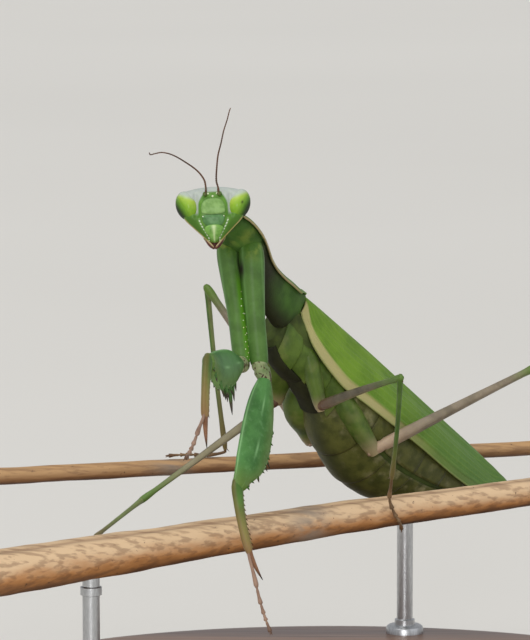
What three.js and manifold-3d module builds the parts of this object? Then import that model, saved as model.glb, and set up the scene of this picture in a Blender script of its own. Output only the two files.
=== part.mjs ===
// A life-size female European mantis gripping two cut lengths of dry stem, which two short rods hold
// over a wooden base. Millimetres, +Z up, origin at the centre of the base's underside.
// The animal faces -Y, and its own left side is towards +X. Each body part is a closed solid.
import * as THREE from "three";
import { mergeVertices } from "three/addons/utils/BufferGeometryUtils.js";
import Module from "manifold-3d";

const wasm = await Module();
wasm.setup();

// ---- driving dimensions -------------------------------------------------------------------------
const GAP = 0.08; // clear space between solids that meet
const WING_GAP = 0.16; // and between folded wings

const BASE = { wide: 84, deep: 62, high: 6, bevel: 1 };
const ROD_RADIUS = 0.9;

const HEAD_CENTRE = [-13, -19, 58.5];
const HEAD = { roll: 2.5, azimuth: -90, elevation: 4 };
const CROWN = 2.65; // heights on the head, from its centre
const BROW = -1.25; // where the labrum and jaws begin
const LIP = -2.8;
const EYE = { across: 1.1, tall: 1.52, deep: 1.35, out: 2.72, up: 0.9, back: 0.15, lean: 0.16 };
const ANTENNA_RADIUS = 0.26;
const ANTENNA_ROOT = [0.75, 1.95, 1.05]; // outward, up, forward from the head's centre
const ANTENNA_LEFT = [[-0.3, 1.6, 0.3], [-0.05, 3.9, 0.7], [0.5, 5.9, 1.2], [1.5, 8.9, 2]];
const ANTENNA_RIGHT = [[-0.05, 1.6, 0.4], [1.3, 3.2, 0.9], [3.6, 4.6, 1.6], [5.5, 4.6, 2.4]];

const PROTHORAX = { azimuth: 62.5, elevation: -32.5, length: 20.5, start: [0.7, 2.9, 0.6] };
const HIND_BODY = { azimuth: 44, elevation: -37 }; // pterothorax, abdomen and folded wings
const WAIST = [5.2, 9.8]; // where mesothorax, metathorax and abdomen meet, back from the wing roots
const ABDOMEN_END = 39.6;
const WING_END = 41.8;
const WING_THICK = 0.5;
const WING_OVERLAP = 2.2;

// Limb segments: lengths, and headings as azimuth from +X towards +Y and elevation, in degrees.
const FORE = { trochanter: 1.4, femur: 12.7, tibia: 6.9, claw: 3.6, tarsus: 9 };
const FORE_LEFT = {
  root: [5.9, 1.7, -2.4],
  coxa: [-73.5, -76, 11.85],
  coxaSize: [0.95, 1],
  trochanter: [-28, -64],
  femur: [-110.5, -52],
  tibia: [-56, -72],
  tarsus: [-48, -66.5],
};
const FORE_RIGHT = {
  root: [5.9, -1.15, -2.4],
  coxa: [-70.5, -68, 12.3],
  coxaSize: [0.8, 1.15],
  trochanter: [-104, 10],
  femur: [-104, 10],
  tibia: [-93, -46],
  tarsus: [-102, -21],
};
const MID = { coxaTop: [2.7, 1.9, -4.6], coxaEnd: [7.6, 3.2, -9.5], hip: 0.66, femur: 18.2, tibia: 13.6 };
const HIND = { coxaTop: [8.6, 2.2, -6.2], coxaEnd: [15.8, 4.9, -9.9], hip: 0.88, femur: 21, tibia: 18.4 };
// Where each foot first touches its stem, and where its toe ends: distance along, degrees round.
const MID_LEFT = { femur: [-62.2, 17.3], foot: [15.4, 60], toe: [17, 150] };
const MID_RIGHT = { femur: [-169, -35], foot: [-18.6, -85], toe: [-19.6, -150] };
const HIND_LEFT = { femur: [20, 23], foot: [39.4, 20], toe: [42, -20] };
const HIND_RIGHT = { femur: [141, 47], foot: [0.4, 10], toe: [-6, 0] };
const TARSUS_RADIUS = 0.28;
const THORN_RADIUS = 0.17;

// Perches: a point on the axis, measured from the head, then heading, reach each way, radii.
const FRONT_STEM = { through: [3.7, 5.3, -34.2], heading: [24, 4.2], reach: [34, 38], radii: [2.42, 1.46] };
const REAR_STEM = { through: [0.5, 38.1, -32.6], heading: [12, 1], reach: [28, 47], radii: [0.95, 0.8] };
const ROD_AT = { front: -18, rear: 21 }; // along each stem from its through point

// ---- small tools --------------------------------------------------------------------------------
const vec = (x, y, z) => new THREE.Vector3(x, y, z);
const mix = THREE.MathUtils.lerp;
const rad = THREE.MathUtils.degToRad;
const step = (low, high, x) => THREE.MathUtils.smoothstep(x, low, high);

function heading(azimuth, elevation) {
  const flat = Math.cos(rad(elevation));
  return vec(flat * Math.cos(rad(azimuth)), flat * Math.sin(rad(azimuth)), Math.sin(rad(elevation)));
}

// The place reached from a point by going a distance along each given direction.
function from(point, ...moves) {
  const reached = point.clone();
  for (const [direction, distance] of moves) reached.addScaledVector(direction, distance);
  return reached;
}

// A function that runs smoothly through [t, value] stations.
function along(...stations) {
  return (t) => {
    const next = stations.findIndex(([at]) => at >= t);
    if (next <= 0) return next === 0 ? stations[0][1] : stations.at(-1)[1];
    const [[t0, v0], [t1, v1]] = [stations[next - 1], stations[next]];
    const before = stations[next - 2] ?? [t0, v0];
    const after = stations[next + 1] ?? [t1, v1];
    const slope = (a, b) => (b[0] === a[0] ? 0 : (b[1] - a[1]) / (b[0] - a[0]));
    const [m0, m1] = [slope(before, [t1, v1]) * (t1 - t0), slope([t0, v0], after) * (t1 - t0)];
    const k = (t - t0) / (t1 - t0);
    const [k2, k3] = [k * k, k * k * k];
    return (2 * k3 - 3 * k2 + 1) * v0 + (k3 - 2 * k2 + k) * m0 + (3 * k2 - 2 * k3) * v1 + (k3 - k2) * m1;
  };
}

const valueAt = (value, t) => (typeof value === "function" ? value(t) : value);

// A geometry with every vertex moved by a function.
function shaped(geometry, place) {
  const position = geometry.attributes.position;
  const v = vec(0, 0, 0);
  for (let i = 0; i < position.count; i++) {
    place(v.fromBufferAttribute(position, i));
    position.setXYZ(i, v.x, v.y, v.z);
  }
  return geometry;
}

// A closed solid from a geometry, whichever way its faces were wound.
function solid(geometry) {
  const bare = geometry.clone();
  bare.deleteAttribute("normal");
  bare.deleteAttribute("uv");
  const merged = mergeVertices(bare, 1e-4);
  const vertProperties = new Float32Array(merged.attributes.position.array);
  const triVerts = new Uint32Array(merged.index.array);
  const made = new wasm.Manifold(new wasm.Mesh({ numProp: 3, vertProperties, triVerts }));
  if (made.volume() > 0) return made;
  for (let i = 0; i < triVerts.length; i += 3) {
    [triVerts[i], triVerts[i + 1]] = [triVerts[i + 1], triVerts[i]];
  }
  return new wasm.Manifold(new wasm.Mesh({ numProp: 3, vertProperties, triVerts }));
}

// A closed tube along centre(t), with half sizes wide along side and tall along up. Its stations
// crowd towards both ends, so that they can round off.
function tube({ sides = 8, steps = 8, centre, wide, tall = wide, crest = tall, side, up }) {
  return solid(
    shaped(new THREE.CylinderGeometry(1, 1, 1, sides, steps), (v) => {
      const t = (1 - Math.cos(Math.PI * THREE.MathUtils.clamp(v.y + 0.5, 0, 1))) / 2;
      const x = v.x * valueAt(wide, t);
      const z = v.z * valueAt(v.z > 0 ? crest : tall, t);
      v.copy(centre(t)).addScaledVector(valueAt(side, t), x).addScaledVector(valueAt(up, t), z);
    }),
  );
}

// A limb segment between two points: wide across, tall from back to belly.
function limb(start, end, belly, { wide, tall = wide, bulge = 0, sides = 8, steps = 8 }) {
  const axis = end.clone().sub(start).normalize();
  const up = belly.clone().addScaledVector(axis, -belly.dot(axis)).normalize();
  const side = axis.clone().cross(up);
  const centre = (t) => start.clone().lerp(end, t).addScaledVector(up, bulge * Math.sin(Math.PI * t));
  return tube({ sides, steps, centre, wide, tall, side, up });
}

const turnTo = (axis, direction) =>
  new THREE.Quaternion().setFromUnitVectors(axis, direction.clone().normalize());

// A thorn that stands on a surface point.
function thorn(root, direction, length, radius, sides = 4) {
  const cone = new THREE.ConeGeometry(radius, length, sides).translate(0, length / 2 - radius, 0);
  cone.applyQuaternion(turnTo(vec(0, 1, 0), direction));
  return solid(cone.translate(root.x, root.y, root.z));
}

// Cuts away what lies beyond a plane, on the side that its normal points to.
function trim(body, point, normal) {
  const size = 200;
  const block = new THREE.BoxGeometry(size, size, size).translate(0, 0, size / 2);
  block.applyQuaternion(turnTo(vec(0, 0, 1), normal));
  return body.subtract(solid(block.translate(point.x, point.y, point.z)));
}

// Cuts two segments at the plane that halves their joint.
function mitre(first, second, joint, into, outOf) {
  const normal = into.clone().add(outOf).normalize();
  const back = normal.clone().negate();
  return [
    trim(first, from(joint, [back, GAP / 2]), normal),
    trim(second, from(joint, [normal, GAP / 2]), back),
  ];
}

const parts = new THREE.Group();

// Adds a solid as a named mesh whose own origin is at the given joint.
function add(name, body, joint, colour, roughness = 0.45, metalness = 0) {
  const mesh = body.getMesh();
  const geometry = new THREE.BufferGeometry();
  geometry.setAttribute("position", new THREE.BufferAttribute(new Float32Array(mesh.vertProperties), 3));
  geometry.setIndex(new THREE.BufferAttribute(new Uint32Array(mesh.triVerts), 1));
  geometry.translate(-joint.x, -joint.y, -joint.z);
  geometry.computeVertexNormals();
  const material = new THREE.MeshStandardMaterial({ color: colour, roughness, metalness });
  const node = new THREE.Mesh(geometry, material);
  node.name = name;
  node.position.copy(joint);
  parts.add(node);
}

const GREEN = 0x5fa052;
const DEEP_GREEN = 0x3f7a3c;
const WING_GREEN = 0x6fae3a;
const EYE_GREEN = 0x9cc832;
const OLIVE = 0x76803f;
const BROWN = 0x5d4030;
const LEG_GREY = 0x8f7b70;
const STRAW = 0xcdb08a;
const WOOD = 0x6e4a2c;
const STEEL = 0xb8bcc0;

// ---- body frames --------------------------------------------------------------------------------
const headCentre = vec(...HEAD_CENTRE);
const face = heading(HEAD.azimuth, HEAD.elevation);
const headUp = heading(HEAD.azimuth, HEAD.elevation + 90).applyAxisAngle(face, rad(HEAD.roll));
const headLeft = headUp.clone().cross(face);
const headPoint = (left, up, forward) => from(headCentre, [headLeft, left], [headUp, up], [face, forward]);

// A stretch of the body: its root, the way back along it, its left and its up.
function bodyFrame(root, { azimuth, elevation }) {
  const back = heading(azimuth, elevation);
  const left = back.clone().cross(vec(0, 0, 1)).normalize();
  const up = left.clone().cross(back);
  const point = (s, leftward, upward) => from(root, [back, s], [left, leftward], [up, upward]);
  return { back, left, up, point };
}

const fore = bodyFrame(headCentre.clone().add(vec(...PROTHORAX.start)), PROTHORAX);
const rear = bodyFrame(fore.point(PROTHORAX.length, 0, 0), HIND_BODY);

// ---- head ---------------------------------------------------------------------------------------
function eyeBody(side, grow = 0) {
  return solid(
    shaped(new THREE.SphereGeometry(1, 12, 8), (v) => {
      const [x, y, z] = [v.x * (EYE.across + grow), v.y * (EYE.tall + grow), v.z * (EYE.deep + grow)];
      v.copy(headPoint(side * (EYE.out + EYE.lean * y) + x, EYE.up + y, z - EYE.back));
    }),
  );
}

function makeHead() {
  const capsule = tube({
    sides: 14,
    steps: 10,
    centre: (t) => headPoint(0, mix(LIP, CROWN, t), along([0, 0.75], [0.35, 0.35], [0.7, 0], [1, -0.3])(t)),
    wide: along([0, 0.6], [0.12, 1.35], [0.28, 2.15], [0.5, 2.75], [0.7, 2.9], [0.9, 2.8], [1, 2]),
    tall: along([0, 0.3], [0.12, 0.55], [0.3, 0.95], [0.55, 1.3], [0.8, 1.25], [0.93, 0.95], [1, 0.5]),
    side: headLeft,
    up: face,
  });
  const browLine = headPoint(0, BROW, 0);
  const eyes = [eyeBody(1), eyeBody(-1)];
  let skull = trim(capsule, from(browLine, [headUp, GAP / 2]), headUp.clone().negate());
  for (const side of [1, -1]) skull = skull.subtract(eyeBody(side, GAP));
  add("head", skull, headCentre, GREEN);
  add("eye_left", eyes[0], headPoint(EYE.out, EYE.up, 0), EYE_GREEN, 0.15);
  add("eye_right", eyes[1], headPoint(-EYE.out, EYE.up, 0), EYE_GREEN, 0.15);

  const muzzle = trim(capsule, from(browLine, [headUp, -GAP / 2]), headUp);
  const lipPlane = headPoint(0, BROW, 0.55);
  add("labrum", trim(muzzle, from(lipPlane, [face, GAP / 2]), face.clone().negate()), browLine, GREEN);
  const jaws = limb(headPoint(0, BROW - 0.1, 0.1), headPoint(0, LIP - 0.75, 0.45), face, {
    wide: along([0, 0.9], [0.6, 0.75], [0.9, 0.5], [1, 0.25]),
    tall: along([0, 0.55], [0.7, 0.5], [1, 0.25]),
    steps: 5,
  });
  const behindLip = trim(jaws.add(muzzle), lipPlane, face);
  add("mouthparts", trim(behindLip, from(browLine, [headUp, -GAP / 2]), headUp), browLine, BROWN);
}

// path: places on the feeler outward, up and forward from its root.
function makeAntenna(name, side, path) {
  const [outward, up, forward] = ANTENNA_ROOT;
  const root = headPoint(side * outward, up, forward);
  const points = path.map(([x, y, z]) => from(root, [headLeft, side * x], [headUp, y], [face, z]));
  const curve = new THREE.CatmullRomCurve3([root, ...points]);
  const body = tube({
    sides: 6,
    steps: 12,
    centre: (t) => curve.getPoint(t),
    wide: ANTENNA_RADIUS,
    side: (t) => curve.getTangent(t).cross(face).normalize(),
    up: face,
  });
  const socket = from(root, [face, 0.12], [headUp, 0.12]);
  add(name, trim(body, socket, headUp.clone().addScaledVector(face, 0.6).negate()), root, BROWN);
}

// ---- trunk --------------------------------------------------------------------------------------
// Half width and half depth of the prothorax, with the flare over the fore coxae.
const PROTHORAX_WIDE = along(
  ...[[0, 1.1], [0.05, 2], [0.15, 2.6], [0.25, 3]],
  ...[[0.38, 2.3], [0.62, 1.65], [0.9, 1.9], [1, 1.6]],
);
const PROTHORAX_DEEP = along([0, 0.8], [0.08, 1.4], [0.25, 1.9], [0.5, 1.7], [0.9, 2.2], [1, 2]);

function foreCoxaEnds(pose) {
  const root = fore.point(...pose.root);
  const [azimuth, elevation, length] = pose.coxa;
  return [root, from(root, [heading(azimuth, elevation), length])];
}

function foreCoxa(pose, grow = 0) {
  const [root, end] = foreCoxaEnds(pose);
  const axis = end.clone().sub(root).normalize();
  const wide = along([0, 0.8], [0.08, 1.25], [0.2, 1.35], [0.6, 1.05], [0.9, 0.98], [1, 0.55]);
  const tall = along([0, 0.7], [0.08, 1.15], [0.25, 1.25], [0.6, 1], [0.9, 0.88], [1, 0.5]);
  return limb(from(root, [axis, -1.5]), from(end, [axis, 0.8]), heading(-90, 0), {
    wide: (t) => wide(t) * pose.coxaSize[0] + grow,
    tall: (t) => tall(t) * pose.coxaSize[1] + grow,
  });
}

function makeProthorax() {
  const margin = along(
    ...[[0, -0.5], [0.12, -0.6], [0.25, -0.95], [0.4, -1.05]],
    ...[[0.5, -1.35], [0.7, -1.35], [0.9, -1.15], [1, -1.1]],
  );
  const shield = tube({
    sides: 10,
    steps: 12,
    centre: (t) => fore.point(t * PROTHORAX.length, 0, margin(t)),
    wide: PROTHORAX_WIDE,
    tall: PROTHORAX_DEEP,
    crest: along([0, 0.5], [0.25, 0.75], [0.6, 0.65], [1, 0.9]),
    side: fore.left,
    up: fore.up,
  });
  let body = trim(shield, fore.point(PROTHORAX.length - 0.15, 0, 0), fore.back);
  for (const pose of [FORE_LEFT, FORE_RIGHT]) body = body.subtract(foreCoxa(pose, GAP));
  add("prothorax", body, fore.point(0, 0, -1), GREEN);

  const nape = limb(headPoint(0, 0.2, -0.6), fore.point(1.6, 0, -1.1), headUp, { wide: 0.95, steps: 4 });
  const behindHead = trim(nape, headPoint(0, 0.2, -1.4), face);
  const beforeShield = trim(behindHead, fore.point(0.06, 0, -1), fore.back);
  add("neck", beforeShield.subtract(body), headPoint(0, 0, -1.3), OLIVE);
}

// The hind body under the wings, at s back from the wing roots: its half width, and the heights of
// its back and keel.
const HIND_WIDE = along(
  ...[[-0.8, 1.9], [1.5, 2.7], [5, 3.3], [9, 3.7], [14, 4.5]],
  ...[[20, 4.6], [27, 4.2], [34, 3], [38.2, 1.6], [39.6, 0.7]],
);
const HIND_KEEL = along(
  ...[[-0.8, -4.8], [1.5, -6.8], [5, -8.1], [9, -9], [13, -11.2]],
  ...[[19, -12.7], [26, -11.2], [33, -7.6], [38.2, -4.1], [39.6, -3]],
);
const HIND_BACK = along([-0.8, -0.9], [1, -1.8], [4, -2.8], [9, -3.1], [16, -2.8], [39.6, -2.6]);

function trunkPiece(start, end, steps, grow = 0) {
  const at = (t) => mix(start, end, t);
  const middle = (t) => mix(HIND_BACK(at(t)), HIND_KEEL(at(t)), 0.42);
  return tube({
    sides: 12,
    steps,
    centre: (t) => rear.point(at(t), 0, middle(t)),
    wide: (t) => HIND_WIDE(at(t)) + grow,
    tall: (t) => middle(t) - HIND_KEEL(at(t)) + grow,
    crest: (t) => HIND_BACK(at(t)) - middle(t),
    side: rear.left,
    up: rear.up,
  });
}

function walkingCoxa(size, side, grow = 0) {
  const [top, end] = [size.coxaTop, size.coxaEnd].map(([s, left, up]) => rear.point(s, side * left, up));
  const wide = along([0, 1.25], [0.3, 1.5], [0.8, 1.1], [1, 0.55]);
  const beyond = from(end, [end.clone().sub(top).normalize(), 0.6]);
  return limb(top, beyond, rear.back, { wide: (t) => wide(t) * size.hip + grow });
}

function makeTrunk() {
  const cutters = [];
  for (const side of [1, -1]) cutters.push(walkingCoxa(MID, side, GAP), walkingCoxa(HIND, side, GAP));
  const pieces = [
    ["mesothorax", -0.7, WAIST[0] - GAP, 5],
    ["metathorax", WAIST[0], WAIST[1] - GAP, 2],
    ["abdomen", WAIST[1], ABDOMEN_END, 12],
  ];
  for (const [name, start, end, steps] of pieces) {
    let body = trunkPiece(start, end, steps);
    for (const cutter of cutters) body = body.subtract(cutter);
    body = clearOfWings(trim(body, fore.point(PROTHORAX.length - 0.05, 0, 0), fore.back.clone().negate()));
    add(name, body, rear.point(start, 0, -3), OLIVE);
  }
  for (const [name, side] of [["cercus_left", 1], ["cercus_right", -1]]) {
    const root = rear.point(ABDOMEN_END - 1.2, side * 1.2, -3);
    const tip = rear.point(ABDOMEN_END + 1.2, side * 1.4, -2.8);
    const wide = along([0, 0.3], [0.5, 0.36], [1, 0.2]);
    const body = limb(root, tip, rear.up, { wide, sides: 6, steps: 4 });
    add(name, body.subtract(trunkPiece(WAIST[1], ABDOMEN_END + GAP, 12, GAP)), root, OLIVE);
  }
}

// ---- wings --------------------------------------------------------------------------------------
// The folded wings wrap the back as an arch: its half width, its height and how far round it they
// reach, at s back from the wing roots.
const WING_HALF = along(
  ...[[0.6, 2], [3, 3.6], [8, 4.8], [16, 5.8], [26, 5.6]],
  ...[[34, 4.7], [38.5, 3.5], [41, 2.1], [41.8, 1.2]],
);
const WING_RISE = along(
  ...[[0.6, 2.8], [3, 5.2], [8, 6.4], [11, 6.3], [16, 6.1]],
  ...[[22, 5.75], [30, 5.4], [36, 4.5], [40, 2.9], [41.8, 1.8]],
);
const WING_ANGLE = along([0.6, 74], [3, 84], [10, 91], [34, 90], [41.8, 70]);

// A folded wing: a thin plate from its inner edge, near the middle of the back, to its outer edge.
function wing({ side, start, end, reach, inner, depth }, grow = 0) {
  const thick = WING_THICK + 2 * grow;
  return solid(
    shaped(new THREE.BoxGeometry(1, 1, 1, 6, 1, 12), (v) => {
      const share = (1 - Math.cos(Math.PI * (v.z + 0.5))) / 2;
      const s = mix(start - grow, end + grow, share);
      const at = mix(start, end, share) * (WING_END / end);
      const innerAngle = Math.asin(THREE.MathUtils.clamp(inner / WING_HALF(at), -0.8, 0.8));
      const spread = v.x * 2 * (grow / WING_HALF(at));
      const angle = mix(innerAngle, rad(WING_ANGLE(at)) * reach, v.x + 0.5) + spread;
      const inset = depth(angle * WING_HALF(at)) - v.y * thick;
      const half = Math.max(WING_HALF(at) - inset, 0.45);
      const rise = Math.max(WING_RISE(at) - inset, 0.2);
      v.copy(rear.point(s, side * half * Math.sin(angle), -inset - rise * (1 - Math.cos(angle))));
    }),
  );
}

// The left tegmen lies over the right one, and both lie over the hind wings.
const WINGS = (() => {
  const layer = WING_THICK + WING_GAP;
  const top = WING_THICK / 2;
  const over = WING_OVERLAP / 2;
  const tegmen = { start: 0.6, end: WING_END, reach: 1, inner: -over };
  const hindWing = { start: 4, end: WING_END - 1.2, reach: 0.6, inner: 2 * GAP };
  const hindDepth = () => top + 2 * layer;
  const leftDepth = (x) => top + layer * step(1.3 * over, 3.4, x);
  return {
    tegmen_left: { ...tegmen, side: 1, depth: leftDepth },
    tegmen_right: { ...tegmen, side: -1, depth: () => top + layer },
    hind_wing_left: { ...hindWing, side: 1, depth: hindDepth },
    hind_wing_right: { ...hindWing, side: -1, depth: hindDepth },
  };
})();

function makeWings() {
  for (const [name, shape] of Object.entries(WINGS)) {
    const colour = name.startsWith("tegmen") ? WING_GREEN : DEEP_GREEN;
    add(name, wing(shape), rear.point(shape.start + 0.4, shape.side * 2, -0.5), colour);
  }
}

// Leaves room for the folded wings, which press into the flanks.
function clearOfWings(body) {
  return Object.values(WINGS).reduce((rest, shape) => rest.subtract(wing(shape, GAP)), body);
}

// ---- fore legs ----------------------------------------------------------------------------------
// Thorns in a row along the belly of a segment. Each has a place along it, from 0 to 1.
function thornRow(start, end, belly, { places, sideways = 0, depth, lean = 0.25, size }) {
  const axis = end.clone().sub(start);
  const along = axis.clone().normalize();
  const side = along.clone().cross(belly);
  return places.map((place, i) => {
    const root = from(start, [axis, place], [belly, depth(place)], [side, sideways]);
    const direction = from(belly, [side, sideways * 0.5], [along, lean]);
    return thorn(root, direction, valueAt(size, i), THORN_RADIUS);
  });
}

const across = (vector, axis) => vector.clone().addScaledVector(axis, -vector.dot(axis)).normalize();
const union = (bodies) => bodies.reduce((whole, body) => whole.add(body));

const FEMUR_WIDE = along([0, 0.5], [0.1, 0.75], [0.4, 0.85], [0.9, 0.62], [1, 0.35]);
const FEMUR_TALL = along(
  ...[[0, 0.45], [0.08, 0.95], [0.25, 1.6], [0.4, 1.85], [0.57, 1.95]],
  ...[[0.73, 1.8], [0.85, 1.4], [0.94, 1], [1, 0.5]],
);
const FEMUR_BELLY = 0.75; // how far its middle bulges towards its belly

// The raptorial femur: a flat spindle with outer, inner and four long middle spines on its belly.
function foreFemur(start, knee, axis, belly) {
  const [near, far] = [from(start, [axis, -0.3]), from(knee, [axis, 0.55])];
  const depth = (place) => FEMUR_TALL(place) + FEMUR_BELLY * Math.sin(Math.PI * place) - 0.25;
  const middleSizes = [1.4, 1.9, 3, 2.2];
  const rows = [
    { places: [0.5, 0.63, 0.76, 0.88], sideways: 0.42, size: 1.3 },
    { places: [0.4, 0.55, 0.7, 0.84], sideways: -0.42, size: 1.1 },
    { places: [0.25, 0.32, 0.4, 0.48], size: (i) => middleSizes[i] },
  ];
  const spines = rows.flatMap((row) => thornRow(near, far, belly, { ...row, depth }));
  const shape = { wide: FEMUR_WIDE, tall: FEMUR_TALL, bulge: FEMUR_BELLY, steps: 10 };
  const shaft = limb(near, far, belly, shape);
  return trim(union([shaft, ...spines]), from(start, [axis, GAP / 2]), axis.clone().negate());
}

// The raptorial tibia: two rows of spines on its belly and a long claw at its end.
function foreTibia(knee, ankle, axis, belly) {
  const near = from(knee, [axis, -0.6]);
  const tall = along([0, 0.4], [0.12, 0.72], [0.5, 0.6], [0.9, 0.5], [1, 0.32]);
  const shaft = limb(near, from(ankle, [axis, 0.25]), belly, { wide: 0.45, tall });
  const row = { places: [0.36, 0.6, 0.84], depth: () => 0.35, lean: 0.7, size: 0.75 };
  const spines = [0.25, -0.25].flatMap((sideways) => thornRow(near, ankle, belly, { ...row, sideways }));
  const clawRoot = from(ankle, [axis, -0.3], [belly, 0.15]);
  const claw = thorn(clawRoot, from(axis, [belly, 0.36]), FORE.claw, 0.36, 6);
  return union([shaft, ...spines, claw]);
}

function foreLeg(name, pose) {
  const coxaAxis = heading(pose.coxa[0], pose.coxa[1]);
  const femurAxis = heading(...pose.femur);
  const tibiaAxis = heading(...pose.tibia);
  const tarsusAxis = heading(...pose.tarsus);
  const [root, elbow] = foreCoxaEnds(pose);
  const hingeAxis = heading(...pose.trochanter);
  const femurStart = from(elbow, [hingeAxis, FORE.trochanter]);
  const knee = from(femurStart, [femurAxis, FORE.femur]);
  const ankle = from(knee, [tibiaAxis, FORE.tibia]);
  const belly = across(tibiaAxis, femurAxis); // the tibia folds towards the femur's belly
  const inside = across(femurAxis.clone().negate(), tibiaAxis);

  const hinge = limb(from(elbow, [hingeAxis, -0.9]), from(femurStart, [hingeAxis, 0.6]), belly, {
    wide: along([0, 0.5], [0.3, 0.8], [0.8, 0.72], [1, 0.4]),
    steps: 6,
  });
  const [coxa, trochanter] = mitre(foreCoxa(pose), hinge, elbow, coxaAxis, hingeAxis);
  const seam = from(femurStart, [femurAxis, -GAP / 2]);
  add(`${name}_coxa`, coxa, root, GREEN);
  add(`${name}_trochanter`, trim(trochanter, seam, femurAxis), elbow, DEEP_GREEN);

  const [femur, tibia] = mitre(
    foreFemur(femurStart, knee, femurAxis, belly),
    foreTibia(knee, ankle, tibiaAxis, inside),
    knee,
    femurAxis,
    tibiaAxis,
  );
  const tarsusStart = from(ankle, [inside, -0.3]);
  const thick = along([0, 0.34], [0.5, 0.28], [1, 0.26]);
  const foot = (grow) =>
    limb(from(tarsusStart, [tarsusAxis, -3 * grow]), from(tarsusStart, [tarsusAxis, FORE.tarsus]), inside, {
      wide: (t) => thick(t) + grow,
      sides: 6,
      steps: 5,
    });
  add(`${name}_femur`, femur, femurStart, GREEN);
  add(`${name}_tibia`, tibia.subtract(foot(GAP)), knee, GREEN);
  add(`${name}_tarsus`, foot(0), tarsusStart, BROWN);
}

// ---- perches ------------------------------------------------------------------------------------
function makePerch(name, { through, heading: [azimuth, elevation], reach, radii }) {
  const frame = bodyFrame(headCentre.clone().add(vec(...through)), { azimuth, elevation });
  const radius = (s) => mix(radii[0], radii[1], (s + reach[0]) / (reach[0] + reach[1]));
  const stem = (grow = 0) =>
    tube({
      sides: 12,
      steps: 5,
      centre: (t) => frame.point(mix(-reach[0], reach[1], t), 0, 0),
      wide: (t) => mix(radii[0], radii[1], t) + grow,
      side: frame.left,
      up: frame.up,
    });
  // A point over the bark, at s along the stem and an angle from its top towards the viewer's side.
  const over = (s, angle, lift) => {
    const r = radius(s) + lift;
    return frame.point(s, r * Math.sin(rad(angle)), r * Math.cos(rad(angle)));
  };
  add(name, stem(), frame.point(0, 0, 0), STRAW, 0.8);
  return { frame, stem, over };
}

// ---- walking legs -------------------------------------------------------------------------------
// femur is a heading; the foot first touches the perch at `at` and `angle`, and ends at the toe.
function walkingLeg(name, size, side, { femur: femurHeading, perch, foot, toe }) {
  const [top, hip] = [size.coxaTop, size.coxaEnd].map(([s, left, up]) => rear.point(s, side * left, up));
  const coxaAxis = hip.clone().sub(top).normalize();
  const femurAxis = heading(...femurHeading);
  const knee = from(hip, [femurAxis, size.femur]);
  const lift = TARSUS_RADIUS + 2 * GAP;
  const foothold = perch.over(...foot, lift);
  const tibiaAxis = foothold.clone().sub(knee).normalize();
  const ankle = from(knee, [tibiaAxis, size.tibia]);
  const belly = across(tibiaAxis, femurAxis);

  let femur = limb(from(hip, [femurAxis, -0.7]), from(knee, [femurAxis, 0.45]), belly, {
    wide: along([0, 0.45], [0.06, 0.7], [0.2, 0.72], [0.6, 0.53], [0.9, 0.42], [0.97, 0.5], [1, 0.32]),
    steps: 9,
  });
  let tibia = limb(from(knee, [tibiaAxis, -0.5]), from(ankle, [tibiaAxis, -GAP / 2]), belly, {
    wide: along([0, 0.32], [0.04, 0.42], [0.2, 0.34], [0.8, 0.3], [1, 0.34]),
    sides: 7,
    steps: 6,
  });
  let coxa = clearOfWings(walkingCoxa(size, side));
  [coxa, femur] = mitre(coxa, femur, hip, coxaAxis, femurAxis);
  [femur, tibia] = mitre(femur, tibia, knee, femurAxis, tibiaAxis);
  add(`${name}_coxa`, coxa, top, GREEN);
  add(`${name}_femur`, femur, hip, LEG_GREY);
  add(`${name}_tibia`, tibia, knee, GREEN);

  const middle = [mix(foot[0], toe[0], 0.5), mix(foot[1], toe[1], 0.5)];
  const start = from(ankle, [tibiaAxis, GAP / 2]);
  const places = [start, foothold, perch.over(...middle, lift), perch.over(...toe, lift)];
  const path = new THREE.CatmullRomCurve3(places, false, "centripetal");
  const sideways = (t) => path.getTangent(t).cross(perch.frame.back).normalize();
  const tarsus = tube({
    sides: 6,
    steps: 6,
    centre: (t) => path.getPoint(t),
    wide: TARSUS_RADIUS,
    side: sideways,
    up: (t) => path.getTangent(t).cross(sideways(t)),
  });
  add(`${name}_tarsus`, tarsus, ankle, BROWN);
}

// ---- display stand ------------------------------------------------------------------------------
function makeStand(perches) {
  const outline = new THREE.Shape();
  const [a, b] = [BASE.wide / 2 - BASE.bevel, BASE.deep / 2 - BASE.bevel];
  outline.absellipse(0, 0, a, b, 0, 2 * Math.PI);
  const slab = new THREE.ExtrudeGeometry(outline, {
    depth: BASE.high - 2 * BASE.bevel,
    curveSegments: 16,
    bevelThickness: BASE.bevel,
    bevelSize: BASE.bevel,
    bevelSegments: 1,
  });
  add("stand_base", solid(slab.translate(0, 0, BASE.bevel)), vec(0, 0, 0), WOOD, 0.5);
  for (const [name, perch] of Object.entries(perches)) {
    const top = perch.frame.point(ROD_AT[name], 0, -0.2);
    const foot = BASE.high + GAP;
    const rod = new THREE.CylinderGeometry(ROD_RADIUS, ROD_RADIUS, top.z - foot, 12);
    rod.rotateX(Math.PI / 2).translate(top.x, top.y, (top.z + foot) / 2);
    const seated = solid(rod).subtract(perch.stem(GAP)); // its top follows the stem's underside
    add(`stand_rod_${name}`, seated, vec(top.x, top.y, foot), STEEL, 0.3, 1);
  }
}

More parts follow.
